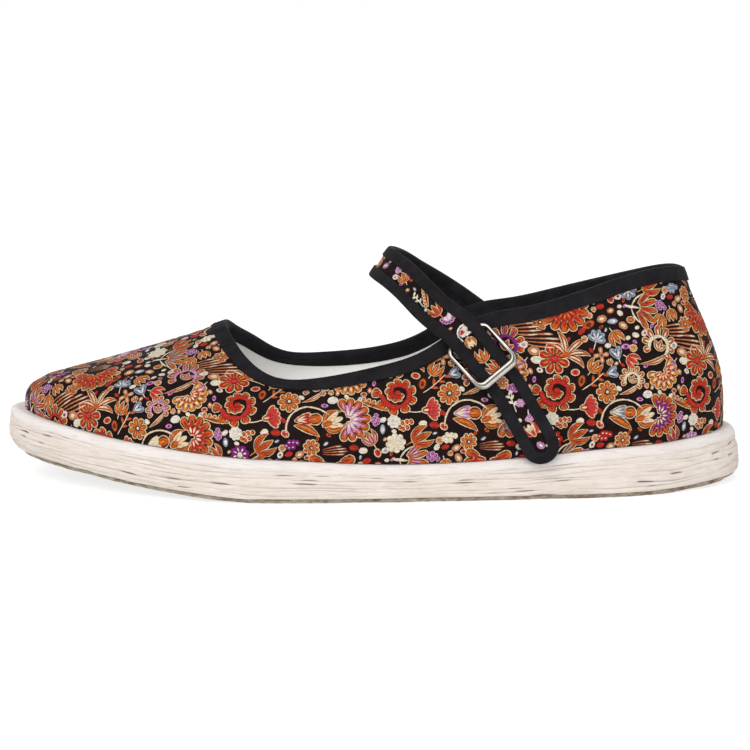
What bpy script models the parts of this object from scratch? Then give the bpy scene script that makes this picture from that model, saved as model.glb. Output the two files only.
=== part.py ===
"""A left Chinese cloth shoe: a floral cloth upper, a bound collar and instep strap, a slide buckle
and a layered cotton sole.

Units are metres. +X runs from heel to toe, +Y to the outer side of the foot and +Z up. The origin is
on the floor, in the middle of the sole's length. Angles round the shoe start at the back of the heel
and pass the outer side, the toe at half a turn, and the inner side.
"""

import math
from collections import namedtuple

import bmesh
import bpy
import numpy as np

# Overall sizes
SOLE_LENGTH = 0.257
BALL_WIDTH = 0.089
SOLE_THICKNESS = 0.0143
TOE_SPRING = 0.0094
HEEL_ROCKER = 0.0022
HEEL_HEIGHT = 0.0743
INSTEP_HEIGHT = 0.0552

# Walls and gaps
CLEARANCE = 0.0003
UPPER_WALL = 0.0018
UPPER_INSET_SIDE = 0.0027
UPPER_INSET_END = 0.0060
TAPE = 0.00045
COLLAR_BINDING_WIDTH = 0.0046

# Sole layers
OUTSOLE_THICKNESS = 0.0016
OUTSOLE_INSET = 0.0016
TOP_LAYER_THICKNESS = 0.0032
INSOLE_THICKNESS = 0.002
STACK_PLIES = 4
PLY_GROOVE = 0.0004

# Strap and buckle
STRAP_WIDTH = 0.0125
STRAP_CORE = 0.0014
STRAP_BINDING_WIDTH = 0.0040
STRAP_FLARE = 0.011
STRAP_FLARE_RUN = 0.045
BUCKLE_LENGTH = 0.0195
BUCKLE_TOP_BAR = 0.0018
BUCKLE_FOOT_BAR = 0.0030
BUCKLE_SIDE_BAR = 0.0016
BUCKLE_THICKNESS = 0.0015
BUCKLE_CORNER = 0.0034
BUCKLE_EDGE = 0.0004
BUCKLE_PLAY = 0.0008

# How finely the curves are cut
STATIONS = 38
UPPER_ROWS = (0.0, 0.08, 0.17, 0.27, 0.38, 0.50, 0.62, 0.74, 0.84, 0.92, 1.0)
STRAP_STATIONS = 30

HALF_BALL = BALL_WIDTH / 2

# The sole's edge. at is a share of the length from the heel, outer and inner are shares of half the
# ball width, each to its own side of the line from heel to toe.
SoleRow = namedtuple("SoleRow", "at outer inner")
SOLE_OUTLINE = (
    SoleRow(0.000, 0.000, 0.000),
    SoleRow(0.025, 0.345, 0.345),
    SoleRow(0.070, 0.545, 0.545),
    SoleRow(0.140, 0.735, 0.700),
    SoleRow(0.250, 0.850, 0.750),
    SoleRow(0.370, 0.915, 0.775),
    SoleRow(0.490, 0.980, 0.855),
    SoleRow(0.600, 1.000, 0.960),
    SoleRow(0.700, 0.970, 1.000),
    SoleRow(0.780, 0.850, 0.965),
    SoleRow(0.850, 0.680, 0.865),
    SoleRow(0.910, 0.480, 0.705),
    SoleRow(0.960, 0.275, 0.520),
    SoleRow(1.000, -0.135, 0.135),
)

# The sole's thickness, as a share of SOLE_THICKNESS, at shares of the length from the heel.
ThicknessRow = namedtuple("ThicknessRow", "at share")
SOLE_THICKNESSES = (
    ThicknessRow(0.00, 1.19),
    ThicknessRow(0.10, 1.19),
    ThicknessRow(0.20, 1.14),
    ThicknessRow(0.30, 0.99),
    ThicknessRow(0.40, 0.89),
    ThicknessRow(0.50, 0.89),
    ThicknessRow(0.60, 0.98),
    ThicknessRow(0.70, 1.03),
    ThicknessRow(0.85, 1.02),
    ThicknessRow(1.00, 1.09),
)

# The sole's side from floor to top: height is a share of the sole's thickness, and side, heel and toe
# are how far the edge lies inside the outline there, as shares of SOLE_THICKNESS.
EdgeRow = namedtuple("EdgeRow", "height side heel toe")
SOLE_EDGE = (
    EdgeRow(0.00, 0.07, 0.04, 0.26),
    EdgeRow(0.12, 0.02, 0.01, 0.14),
    EdgeRow(0.30, 0.00, 0.00, 0.02),
    EdgeRow(0.55, 0.02, 0.04, 0.00),
    EdgeRow(0.80, 0.06, 0.11, 0.04),
    EdgeRow(0.94, 0.10, 0.17, 0.08),
    EdgeRow(1.00, 0.15, 0.24, 0.15),
)

# The upper's ribs, which climb from the sole to the collar. foot and collar are shares of the length
# from the heel, outer and inner are the collar's shares of half the ball width, rise_outer and
# rise_inner are shares of the line from heel height to instep height. wall is how far the rib starts
# upright, reach and drop are how far it runs out and down from the collar, as shares of the rib's own
# run and rise, and belly is how far it swells, as a share of half the ball width.
RibRow = namedtuple("RibRow", "foot collar outer inner rise_outer rise_inner wall reach drop belly")
RIBS = (
    RibRow(0.000, 0.084, 0.000, 0.000, 0.990, 0.990, 0.46, 0.45, 0.35, 0.032),
    RibRow(0.025, 0.091, 0.170, 0.170, 1.006, 0.995, 0.46, 0.45, 0.35, 0.032),
    RibRow(0.070, 0.113, 0.305, 0.300, 1.020, 0.988, 0.45, 0.45, 0.35, 0.030),
    RibRow(0.140, 0.163, 0.455, 0.445, 1.016, 0.958, 0.45, 0.45, 0.35, 0.034),
    RibRow(0.250, 0.256, 0.595, 0.562, 0.955, 0.905, 0.45, 0.45, 0.35, 0.038),
    RibRow(0.310, 0.310, 0.632, 0.605, 0.932, 0.880, 0.46, 0.45, 0.34, 0.038),
    RibRow(0.370, 0.370, 0.660, 0.640, 0.902, 0.850, 0.48, 0.46, 0.32, 0.038),
    RibRow(0.430, 0.429, 0.685, 0.672, 0.775, 0.730, 0.52, 0.48, 0.28, 0.038),
    RibRow(0.490, 0.480, 0.705, 0.695, 0.716, 0.670, 0.55, 0.50, 0.24, 0.038),
    RibRow(0.600, 0.570, 0.705, 0.705, 0.668, 0.652, 0.60, 0.50, 0.18, 0.036),
    RibRow(0.700, 0.630, 0.625, 0.640, 0.688, 0.695, 0.65, 0.52, 0.15, 0.032),
    RibRow(0.780, 0.665, 0.480, 0.520, 0.790, 0.812, 0.65, 0.60, 0.26, 0.026),
    RibRow(0.850, 0.685, 0.290, 0.365, 0.888, 0.896, 0.62, 0.70, 0.42, 0.020),
    RibRow(0.910, 0.696, 0.150, 0.230, 0.952, 0.957, 0.57, 0.78, 0.58, 0.014),
    RibRow(0.960, 0.700, 0.060, 0.135, 0.976, 0.978, 0.52, 0.84, 0.67, 0.010),
    RibRow(1.000, 0.701, -0.030, 0.030, 0.981, 0.981, 0.48, 0.87, 0.72, 0.008),
)
HEEL_COLLAR = RIBS[0].collar
THROAT = RIBS[-1].collar

# The strap where it arches free over the instep, the same on both sides of its top. across is a
# share of half the ball width, along of the length, rise of the instep height, and lean is how far
# its width leans up from the line to the heel, in degrees.
ArchRow = namedtuple("ArchRow", "across along rise lean")
STRAP_ARCH = (
    ArchRow(0.000, 0.4880, 1.368, 54),
    ArchRow(0.247, 0.4740, 1.338, 52),
    ArchRow(0.494, 0.4470, 1.247, 48),
    ArchRow(0.674, 0.4185, 1.129, 44),
)

# The strap where it lies on a side of the upper, from its arch down. rise is a share of the instep
# height and off is the gap from the upper to the strap's middle.
WallRow = namedtuple("WallRow", "along rise off")
LIES_ON_BINDING = TAPE + 2 * CLEARANCE + TAPE + STRAP_CORE / 2 + CLEARANCE
OVER_BAR = LIES_ON_BINDING + BUCKLE_THICKNESS + 6 * CLEARANCE
STRAP_OUTER_SIDE = (
    WallRow(0.3830, 0.985, OVER_BAR),
    WallRow(0.3580, 0.844, LIES_ON_BINDING + 0.0006),
    WallRow(0.3385, 0.744, LIES_ON_BINDING + 0.0002),
    WallRow(0.3067, 0.516, LIES_ON_BINDING + 0.0004),
    WallRow(0.2885, 0.370, LIES_ON_BINDING + 0.0012),
)
STRAP_INNER_SIDE = (
    WallRow(0.3900, 0.985, LIES_ON_BINDING + 0.0002),
    WallRow(0.3700, 0.860, LIES_ON_BINDING),
    WallRow(0.3500, 0.720, LIES_ON_BINDING),
)
# The strap's tip hangs past the sole's top edge.
TIP_ALONG = 0.2750
TIP_HEIGHT = 0.0133
# Where the buckle's top bar crosses the strap, as a share of the strap's length from the inner side.
BUCKLE_TOP_AT = 0.706

Finish = namedtuple("Finish", "name colour roughness metallic")
BROCADE = Finish("floral_cloth", (0.10, 0.045, 0.03), 0.6, 0.0)
BLACK_TAPE = Finish("black_cotton_tape", (0.012, 0.012, 0.014), 0.85, 0.0)
WHITE_COTTON = Finish("layered_cotton", (0.80, 0.72, 0.65), 0.9, 0.0)
TOP_COTTON = Finish("wrapped_cotton", (0.86, 0.80, 0.75), 0.9, 0.0)
GREY_COTTON = Finish("floor_cotton", (0.42, 0.38, 0.30), 0.95, 0.0)
LINING = Finish("lining_cotton", (0.82, 0.80, 0.77), 0.9, 0.0)
NICKEL = Finish("nickel", (0.72, 0.70, 0.66), 0.25, 1.0)


def clear_scene():
    """Removes the objects that the scene starts with."""
    for old in list(bpy.data.objects):
        bpy.data.objects.remove(old)


def material(finish):
    """The Principled material of a finish, made once."""
    found = bpy.data.materials.get(finish.name)
    if found:
        return found
    made = bpy.data.materials.new(finish.name)
    made.use_nodes = True
    shader = made.node_tree.nodes["Principled BSDF"]
    shader.inputs["Base Color"].default_value = (*finish.colour, 1.0)
    shader.inputs["Roughness"].default_value = finish.roughness
    shader.inputs["Metallic"].default_value = finish.metallic
    return made


def spline(knots, rows, period=None):
    """A smooth curve through the rows at their knots: closed if it has a period, else free at its ends."""
    knots = np.array(knots, float)
    rows = np.array(rows, float).reshape(len(knots), -1)
    if period:
        knots = np.append(knots, knots[0] + period)
        rows = np.vstack([rows, rows[:1]])
    gaps = np.diff(knots)
    slopes = np.diff(rows, axis=0) / gaps[:, None]
    last = len(knots) - 1
    system = np.zeros((last + 1, last + 1))
    bends = np.zeros_like(rows)
    for i in range(1, last):
        system[i, i - 1 : i + 2] = gaps[i - 1], 2 * (gaps[i - 1] + gaps[i]), gaps[i]
        bends[i] = 6 * (slopes[i] - slopes[i - 1])
    if period:
        system[0, [0, 1, last - 1]] = 2 * (gaps[-1] + gaps[0]), gaps[0], gaps[-1]
        bends[0] = 6 * (slopes[0] - slopes[-1])
        system[last, [0, last]] = 1, -1
    else:
        system[0, 0] = system[last, last] = 1
    curve = np.linalg.solve(system, bends)

    def value(knot):
        if period:
            knot = (knot - knots[0]) % period + knots[0]
        i = int(np.clip(np.searchsorted(knots, knot, "right") - 1, 0, last - 1))
        after = (knot - knots[i]) / gaps[i]
        before = 1 - after
        sag = (before**3 - before) * curve[i] + (after**3 - after) * curve[i + 1]
        return before * rows[i] + after * rows[i + 1] + sag * gaps[i] ** 2 / 6

    return value


def angle_at(share):
    """The angle round the shoe, on the outer side, at a share of the length from the heel."""
    return math.acos(1 - 2 * share)


def round_the_shoe(shares, outer_rows, inner_rows):
    """A closed spline over the angle through the outer rows and back through the inner ones."""
    angles = [angle_at(share) for share in shares]
    back = range(len(shares) - 2, 0, -1)
    knots = angles + [2 * math.pi - angles[i] for i in back]
    return spline(knots, list(outer_rows) + [inner_rows[i] for i in back], 2 * math.pi)


sole_side = round_the_shoe(
    [row.at for row in SOLE_OUTLINE],
    [row.outer for row in SOLE_OUTLINE],
    [-row.inner for row in SOLE_OUTLINE],
)
thickness_share = spline([row.at for row in SOLE_THICKNESSES], [row.share for row in SOLE_THICKNESSES])
edge_insets = spline([row.height for row in SOLE_EDGE], [row[1:] for row in SOLE_EDGE])
SHAPES = "collar wall reach drop belly".split()
rib_at = round_the_shoe(
    [row.foot for row in RIBS],
    [(row.outer, row.rise_outer, *(getattr(row, name) for name in SHAPES)) for row in RIBS],
    [(-row.inner, row.rise_inner, *(getattr(row, name) for name in SHAPES)) for row in RIBS],
)


def x_at(share):
    """The place along the shoe at a share of the length from the heel."""
    return (share - 0.5) * SOLE_LENGTH


def sole_floor(x):
    """The underside's height: flat from heel to ball, rising at the toe and a little at the heel."""
    share = x / SOLE_LENGTH + 0.5
    spring_from, rocker_to = 0.66, 0.14
    toe = max(0.0, (share - spring_from) / (1 - spring_from)) ** 1.2
    heel = max(0.0, (rocker_to - share) / rocker_to) ** 1.5
    return TOE_SPRING * toe + HEEL_ROCKER * heel


def sole_thickness(x):
    return SOLE_THICKNESS * float(thickness_share(x / SOLE_LENGTH + 0.5)[0])


def sole_top(x):
    return sole_floor(x) + sole_thickness(x)


def outline(angle, inset):
    """The point of the sole's outline at an angle, moved in from the edge."""
    x = -(SOLE_LENGTH / 2 - inset) * math.cos(angle)
    y = float(sole_side(angle)[0]) * (HALF_BALL - inset)
    return x, y


def end_blend(angle):
    """How near an angle is to the heel or the toe: 1 at both ends and near 0 along the sides."""
    return math.cos(angle) ** 4


def foot_inset(angle):
    """How far the upper's foot stands inside the sole's outline."""
    return UPPER_INSET_SIDE + (UPPER_INSET_END - UPPER_INSET_SIDE) * end_blend(angle)


def foot_line(angle):
    return outline(angle, foot_inset(angle))


def unit(vector):
    return vector / np.linalg.norm(vector)


def topline(share):
    """The height of the straight line from the heel's collar to the throat."""
    ahead = (share - HEEL_COLLAR) / (THROAT - HEEL_COLLAR)
    return HEEL_HEIGHT + (INSTEP_HEIGHT - HEEL_HEIGHT) * ahead


def rib(angle):
    """The four control points of the rib that starts at an angle round the sole."""
    side, rise, collar, wall, reach, drop, belly = rib_at(angle)
    x, y = foot_line(angle)
    foot = np.array([x, y, sole_top(x) + CLEARANCE])
    top = np.array([x_at(collar), side * HALF_BALL, rise * topline(collar)])
    step = 1e-3
    ahead = np.subtract(foot_line(angle + step), foot_line(angle - step))
    outward = unit(np.array([-ahead[1], ahead[0], 0.0]))
    up = np.array([0.0, 0.0, top[2] - foot[2]])
    run = np.array([foot[0] - top[0], foot[1] - top[1], 0.0])
    return foot, foot + belly * HALF_BALL * outward + wall * up, top + reach * run - drop * up, top


def upper_point(angle, height):
    """A point of the upper's outer face: height runs from 0 at the sole to 1 at the collar."""
    foot, low, high, top = rib(angle)
    left = 1 - height
    return left**3 * foot + 3 * left**2 * height * low + 3 * left * height**2 * high + height**3 * top


def upper_frame(angle, height):
    """The point, the steps round the shoe and up the rib, and the outward normal of the upper."""
    step = 1e-3
    point = upper_point(angle, height)
    around = (upper_point(angle + step, height) - upper_point(angle - step, height)) / (2 * step)
    up = (upper_point(angle, height + step) - upper_point(angle, height - step)) / (2 * step)
    return point, around, up, unit(np.cross(up, around))


def down_from_collar(angle, distances):
    """Points and normals of the upper's face at these distances below the collar, square to it."""
    height, gone, found = 1.0, 0.0, []
    for distance in distances:
        while distance - gone > 1e-6:
            step = min(0.0008, distance - gone)
            _, around, up, normal = upper_frame(angle, height)
            down = unit(np.cross(normal, around)) * step
            turn, climb = np.linalg.lstsq(np.column_stack([around, up]), down, rcond=None)[0]
            angle, height, gone = angle + turn, height + climb, gone + step
        point, around, _, normal = upper_frame(angle, height)
        found.append((point, normal, unit(np.cross(normal, around))))
    return found


def wall_at(side, x, z):
    """The upper's outer face and its normal at a place along and up one side, 1 outer or -1 inner."""
    angle = angle_at(x / SOLE_LENGTH + 0.5)
    angle = angle if side > 0 else 2 * math.pi - angle
    height = 0.5
    for _ in range(12):
        point, around, up, normal = upper_frame(angle, height)
        miss = np.array([x - point[0], z - point[2]])
        jacobian = np.array([[around[0], up[0]], [around[2], up[2]]])
        turn, climb = np.linalg.solve(jacobian, miss)
        angle, height = angle + turn, height + climb
    point, _, _, normal = upper_frame(angle, height)
    return point, normal


def add_mesh(name, points, faces, finish):
    """A closed mesh object with its faces turned out and its own material."""
    mesh = bpy.data.meshes.new(name)
    mesh.from_pydata([tuple(point) for point in points], [], faces)
    shaped = bmesh.new()
    shaped.from_mesh(mesh)
    bmesh.ops.recalc_face_normals(shaped, faces=shaped.faces)
    shaped.to_mesh(mesh)
    shaped.free()
    mesh.materials.append(material(finish))
    mesh.shade_smooth()
    mesh.set_sharp_from_angle(angle=math.radians(40))
    made = bpy.data.objects.new(name, mesh)
    shoe.objects.link(made)
    return made


def sides_between(sections, closed):
    """The faces between neighbouring closed sections, and from the last to the first if closed."""
    size = len(sections[0])
    faces = []
    for i in range(len(sections) if closed else len(sections) - 1):
        here, there = i * size, (i + 1) % len(sections) * size
        for j in range(size):
            k = (j + 1) % size
            faces.append((here + j, there + j, there + k, here + k))
    return faces


def hoop(name, sections, finish):
    """A ring whose cross-sections are these closed loops."""
    points = [point for section in sections for point in section]
    return add_mesh(name, points, sides_between(sections, True), finish)


def band(name, sections, finish):
    """A strip whose cross-sections are these closed loops, capped at both ends."""
    points = [point for section in sections for point in section]
    size = len(sections[0])
    first = tuple(range(size))
    final = tuple(range(len(points) - size, len(points)))
    return add_mesh(name, points, sides_between(sections, False) + [first, final], finish)


def slab(name, rings, finish):
    """A plate whose edge is these rings from bottom to top, each from heel to toe and back."""
    points = [point for ring in rings for point in ring]
    size = len(rings[0])
    faces = sides_between(rings, False)
    for start in (0, len(points) - size):
        for i in range(size // 2):
            across = (i, i + 1, (size - i - 1) % size, (size - i) % size)
            corners = [start + j for j in across]
            faces.append(tuple(dict.fromkeys(corners)))
    return add_mesh(name, points, faces, finish)


def around():
    """The angles of the stations round the shoe."""
    return [math.pi * i / STATIONS for i in range(2 * STATIONS)]


def sole_ring(height_of, inset_of):
    """A ring round the sole: its height is a function of the place along the shoe, its inset of the angle."""
    ring = []
    for angle in around():
        x, y = outline(angle, inset_of(angle))
        ring.append((x, y, height_of(x)))
    return ring


def sole_layer(name, low_of, high_of, steps, finish):
    """A layer of the sole between two heights over its underside.

    Each step is a share of the layer's thickness and a groove cut into the sole's side there.
    """

    def ring(share, groove):
        def rise(x):
            return low_of(x) + share * (high_of(x) - low_of(x))

        def inset(angle):
            x = outline(angle, 0.0)[0]
            side, heel, toe = edge_insets(rise(x) / sole_thickness(x))
            end = heel if x < 0 else toe
            return (side + (end - side) * end_blend(angle)) * SOLE_THICKNESS + groove

        return sole_ring(lambda x: sole_floor(x) + rise(x), inset)

    return slab(name, [ring(share, groove) for share, groove in steps], finish)


def build_outsole():
    """The thin sheet on the floor, a little inside the layers above it."""
    steps = [(0.0, OUTSOLE_INSET + PLY_GROOVE), (0.25, OUTSOLE_INSET), (1.0, OUTSOLE_INSET)]
    sole_layer("outsole", lambda x: 0.0, lambda x: OUTSOLE_THICKNESS, steps, GREY_COTTON)


def stack_low(x):
    return OUTSOLE_THICKNESS + CLEARANCE


def stack_high(x):
    return sole_thickness(x) - TOP_LAYER_THICKNESS - CLEARANCE


def build_layered_sole():
    """The stack of cotton plies, with a groove where one ply meets the next."""
    steps = []
    for ply in range(STACK_PLIES):
        for share, groove in ((0.0, PLY_GROOVE), (0.22, 0.0), (0.78, 0.0)):
            steps.append(((ply + share) / STACK_PLIES, groove))
    steps.append((1.0, PLY_GROOVE))
    sole_layer("layered_sole", stack_low, stack_high, steps, WHITE_COTTON)


def build_sole_top_layer():
    """The top layer, whose edge is wrapped in a white strip."""
    steps = [(0.0, PLY_GROOVE), (0.12, 0.0), (0.5, 0.0), (0.85, 0.0), (1.0, PLY_GROOVE)]
    sole_layer(
        "sole_top_layer", lambda x: stack_high(x) + CLEARANCE, sole_thickness, steps, TOP_COTTON
    )


def build_insole():
    """The cotton sock on the sole, inside the upper's wall."""

    def ring(share, inset):
        def height(x):
            return sole_top(x) + CLEARANCE + share * INSOLE_THICKNESS

        return sole_ring(height, lambda angle: foot_inset(angle) + UPPER_WALL + 4 * CLEARANCE + inset)

    slab("insole", [ring(0.0, 0.0), ring(0.7, 0.0), ring(1.0, PLY_GROOVE)], LINING)


def build_upper():
    """The upper: one hollow wall, open at the collar and over the sole."""
    sections = []
    for angle in around():
        frames = [upper_frame(angle, height) for height in UPPER_ROWS]
        outside = [point for point, _, _, _ in frames]
        inside = [point - UPPER_WALL * normal for point, _, _, normal in frames]
        sections.append(outside + inside[::-1])
    hoop("upper", sections, BROCADE)


def build_collar_binding():
    """The tape folded over the collar's edge, with a leg on each face of the upper."""
    near, far = CLEARANCE, CLEARANCE + TAPE
    rounded = 0.7 * far
    sections = []
    for angle in around():
        half = COLLAR_BINDING_WIDTH / 2
        edge, middle, hem = down_from_collar(angle, (0.0, half, 2 * half))
        point, normal, down = edge

        def over(out, up, point=point, normal=normal, down=down):
            return point + out * normal - up * down

        outer_leg = [leg[0] + far * leg[1] for leg in (hem, middle, edge)]
        crest = [
            over(rounded, rounded),
            over(-UPPER_WALL / 2, far),
            over(-UPPER_WALL - rounded, rounded),
        ]
        inner_leg = [leg[0] - (UPPER_WALL + far) * leg[1] for leg in (edge, hem)]
        fold = [
            hem[0] - (UPPER_WALL + near) * hem[1],
            over(-UPPER_WALL - near, near),
            over(near, near),
            middle[0] + near * middle[1],
            hem[0] + near * hem[1],
        ]
        sections.append(outer_leg + crest + inner_leg + fold)
    hoop("collar_binding", sections, BLACK_TAPE)


def strap_rows():
    """The strap's middle line, from its inner end to its tip: points and leans of its width."""
    places, widths = [], []

    def on_wall(side, row):
        point, normal = wall_at(side, x_at(row.along), row.rise * INSTEP_HEIGHT)
        places.append(point + row.off * normal)
        widths.append(None)

    def on_arch(side, row):
        y = side * row.across * HALF_BALL
        places.append(np.array([x_at(row.along), y, row.rise * INSTEP_HEIGHT]))
        lean = math.radians(row.lean)
        widths.append(np.array([-math.cos(lean), 0.0, math.sin(lean)]))

    for row in STRAP_INNER_SIDE[::-1]:
        on_wall(-1, row)
    for row in STRAP_ARCH[::-1]:
        on_arch(-1, row)
    for row in STRAP_ARCH[1:]:
        on_arch(1, row)
    for row in STRAP_OUTER_SIDE:
        on_wall(1, row)
    x = x_at(TIP_ALONG)
    edge = outline(angle_at(TIP_ALONG), 0.0)[1]
    places.append(np.array([x, edge + STRAP_CORE / 2 + 2 * CLEARANCE + TAPE, TIP_HEIGHT]))
    widths.append(None)
    return places, widths


def strap_line():
    """The strap's middle line as a spline over its own length, and the width's direction along it."""
    places, widths = strap_rows()
    steps = [np.linalg.norm(b - a) for a, b in zip(places, places[1:])]
    knots = np.concatenate([[0.0], np.cumsum(steps)])
    middle = spline(knots, places)

    def run(s):
        step = 1e-4
        return unit(middle(s + step) - middle(s - step))

    for i, (s, place) in enumerate(zip(knots, places)):
        if widths[i] is None:
            side = math.copysign(1, place[1])
            highest = 0.98 * float(collar_height(side, place[0]))
            _, normal = wall_at(side, place[0], min(place[2], highest))
            widths[i] = unit(np.cross(normal, run(s)))
    width = spline(knots, widths)
    return middle, run, width, knots[-1]


def collar_height(side, x):
    """The collar's height over a place along one side."""
    angle = angle_at(x / SOLE_LENGTH + 0.5)
    angle = angle if side > 0 else 2 * math.pi - angle
    for _ in range(8):
        point, around, _, _ = upper_frame(angle, 1.0)
        angle += (x - point[0]) / around[0]
    return upper_point(angle, 1.0)[2]


def strap_mapper():
    """Turns places along, across and off the strap's middle into points, and gives its length."""
    middle, run, width, length = strap_line()

    def point(along, across, off):
        ahead = run(along)
        leaning = width(along)
        sideways = unit(leaning - leaning.dot(ahead) * ahead)
        return middle(along) + across * sideways + off * np.cross(ahead, sideways)

    return point, length


def flare(along):
    """How much the strap's rear edge widens where it joins the inner side."""
    return STRAP_FLARE * max(0.0, 1 - along / STRAP_FLARE_RUN) ** 2


def half_width(along, length, half):
    """Half the strap's width at a place along it, rounded at the tip."""
    left = length - along
    return half if left >= half else math.sqrt(max(0.0, half**2 - (half - left) ** 2))


def strap_stops(length, half):
    """Places along the strap, closer together round the tip."""
    straight = np.linspace(0.0, length - half, STRAP_STATIONS)
    turn = [length - half + half * math.sin(math.radians(a)) for a in (15, 30, 45, 58, 70, 80)]
    return list(straight) + turn


def build_strap(point, length):
    """The strap's cloth core, a flat band with a rounded tip."""
    half = STRAP_WIDTH / 2 - TAPE - CLEARANCE
    core_length = length - TAPE - CLEARANCE
    sections = []
    for along in strap_stops(core_length, half):
        wide = half_width(along, core_length, half)
        face = [-wide, -wide / 3, wide / 3, wide + flare(along)]
        front = [point(along, across, STRAP_CORE / 2) for across in face]
        back = [point(along, across, -STRAP_CORE / 2) for across in reversed(face)]
        sections.append(front + back)
    band("strap", sections, BROCADE)


def build_strap_binding(point, length):
    """The tape folded round the strap's edges and tip, in one run from end to end."""
    half = STRAP_WIDTH / 2
    bend = length - half
    edge = [(along, -half, 0.0, -1.0) for along in np.linspace(0.0, bend, STRAP_STATIONS)]
    for degrees in range(-75, 90, 15):
        turn = math.radians(degrees)
        e_along, e_across = math.cos(turn), math.sin(turn)
        edge.append((bend + half * e_along, half * e_across, e_along, e_across))
    edge += [
        (along, half + flare(along), 0.0, 1.0) for along in np.linspace(bend, 0.0, STRAP_STATIONS)
    ]
    thick = STRAP_CORE / 2 + CLEARANCE + TAPE
    thin = STRAP_CORE / 2 + CLEARANCE
    leg = STRAP_BINDING_WIDTH
    profile = [
        (leg, thick), (TAPE, thick), (0.0, 0.4 * thick), (0.0, -0.4 * thick),
        (TAPE, -thick), (leg, -thick), (leg, -thin), (TAPE, -thin), (TAPE, thin), (leg, thin),
    ]
    sections = []
    for along, across, e_along, e_across in edge:
        sections.append(
            [point(along - inward * e_along, across - inward * e_across, off) for inward, off in profile]
        )
    band("strap_binding", sections, BLACK_TAPE)


def rounded_rectangle(curve, middle, length, width, radius):
    """Adds a closed spline to a 2D curve: a rectangle with round corners, its centre at middle."""
    steps = 5
    points = []
    for corner, (sx, sy) in enumerate(((1, 1), (-1, 1), (-1, -1), (1, -1))):
        for i in range(steps + 1):
            turn = math.pi / 2 * (corner + i / steps)
            x = middle + sx * (length / 2 - radius) + radius * math.cos(turn)
            y = sy * (width / 2 - radius) + radius * math.sin(turn)
            points.append((x, y))
    line = curve.splines.new("POLY")
    line.points.add(len(points) - 1)
    for vertex, (x, y) in zip(line.points, points):
        vertex.co = (x, y, 0.0, 1.0)
    line.use_cyclic_u = True


def build_buckle(point, length):
    """The slide buckle: a square ring that the strap runs over at its top and under at its foot."""
    over = STRAP_CORE / 2 + TAPE + 5 * CLEARANCE + BUCKLE_THICKNESS / 2
    between = BUCKLE_LENGTH - (BUCKLE_TOP_BAR + BUCKLE_FOOT_BAR) / 2
    top_at = BUCKLE_TOP_AT * length
    top_bar = point(top_at, 0.0, -over)
    foot_bar = point(top_at + between, 0.0, over)
    middle_at = top_at + between / 2
    down = unit(foot_bar - top_bar)
    across = point(middle_at, 0.001, 0.0) - point(middle_at, -0.001, 0.0)
    across = unit(across - across.dot(down) * down)
    curve = bpy.data.curves.new("buckle_ring", "CURVE")
    curve.dimensions = "2D"
    curve.fill_mode = "BOTH"
    curve.extrude = BUCKLE_THICKNESS / 2
    window_length = BUCKLE_LENGTH - BUCKLE_TOP_BAR - BUCKLE_FOOT_BAR
    window_width = STRAP_WIDTH + 2 * BUCKLE_PLAY
    window_corner = BUCKLE_CORNER - BUCKLE_SIDE_BAR
    rounded_rectangle(curve, 0.0, BUCKLE_LENGTH, window_width + 2 * BUCKLE_SIDE_BAR, BUCKLE_CORNER)
    window_middle = (BUCKLE_TOP_BAR - BUCKLE_FOOT_BAR) / 2
    rounded_rectangle(curve, window_middle, window_length, window_width, window_corner)
    made = bpy.data.objects.new("buckle_frame", curve)
    shoe.objects.link(made)
    curve.materials.append(material(NICKEL))
    weld = made.modifiers.new("weld", "WELD")
    weld.merge_threshold = 1e-5
    edge = made.modifiers.new("edge", "BEVEL")
    edge.width = BUCKLE_EDGE
    edge.segments = 2
    edge.limit_method = "ANGLE"
    edge.angle_limit = math.radians(60)
    matrix = np.eye(4)
    matrix[:3, 0], matrix[:3, 1], matrix[:3, 2] = down, across, np.cross(down, across)
    matrix[:3, 3] = top_bar + (BUCKLE_LENGTH - BUCKLE_TOP_BAR) / 2 * down
    made.matrix_world = matrix.T


clear_scene()
shoe = bpy.data.collections.new("cloth_shoe")
bpy.context.scene.collection.children.link(shoe)
build_outsole()
build_layered_sole()
build_sole_top_layer()
build_insole()
build_upper()
build_collar_binding()
strap_point, strap_length = strap_mapper()
build_strap(strap_point, strap_length)
build_strap_binding(strap_point, strap_length)
build_buckle(strap_point, strap_length)
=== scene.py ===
"""The looks of the left Chinese cloth shoe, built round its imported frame.

The upper's cloth is laid flat by its own shape, the brocade is charted on the flat cloth, and each
petal is then laid back on the curved upper. Places on the chart are complex numbers in millimetres:
the real part runs towards the heel as the outer side is seen, the imaginary part runs up. Everything
else is in metres, with +X to the toe, +Y to the outer side and +Z up.
"""

import cmath
import math
from collections import namedtuple

import bpy
import numpy as np
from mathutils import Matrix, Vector
from mathutils.bvhtree import BVHTree


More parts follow.
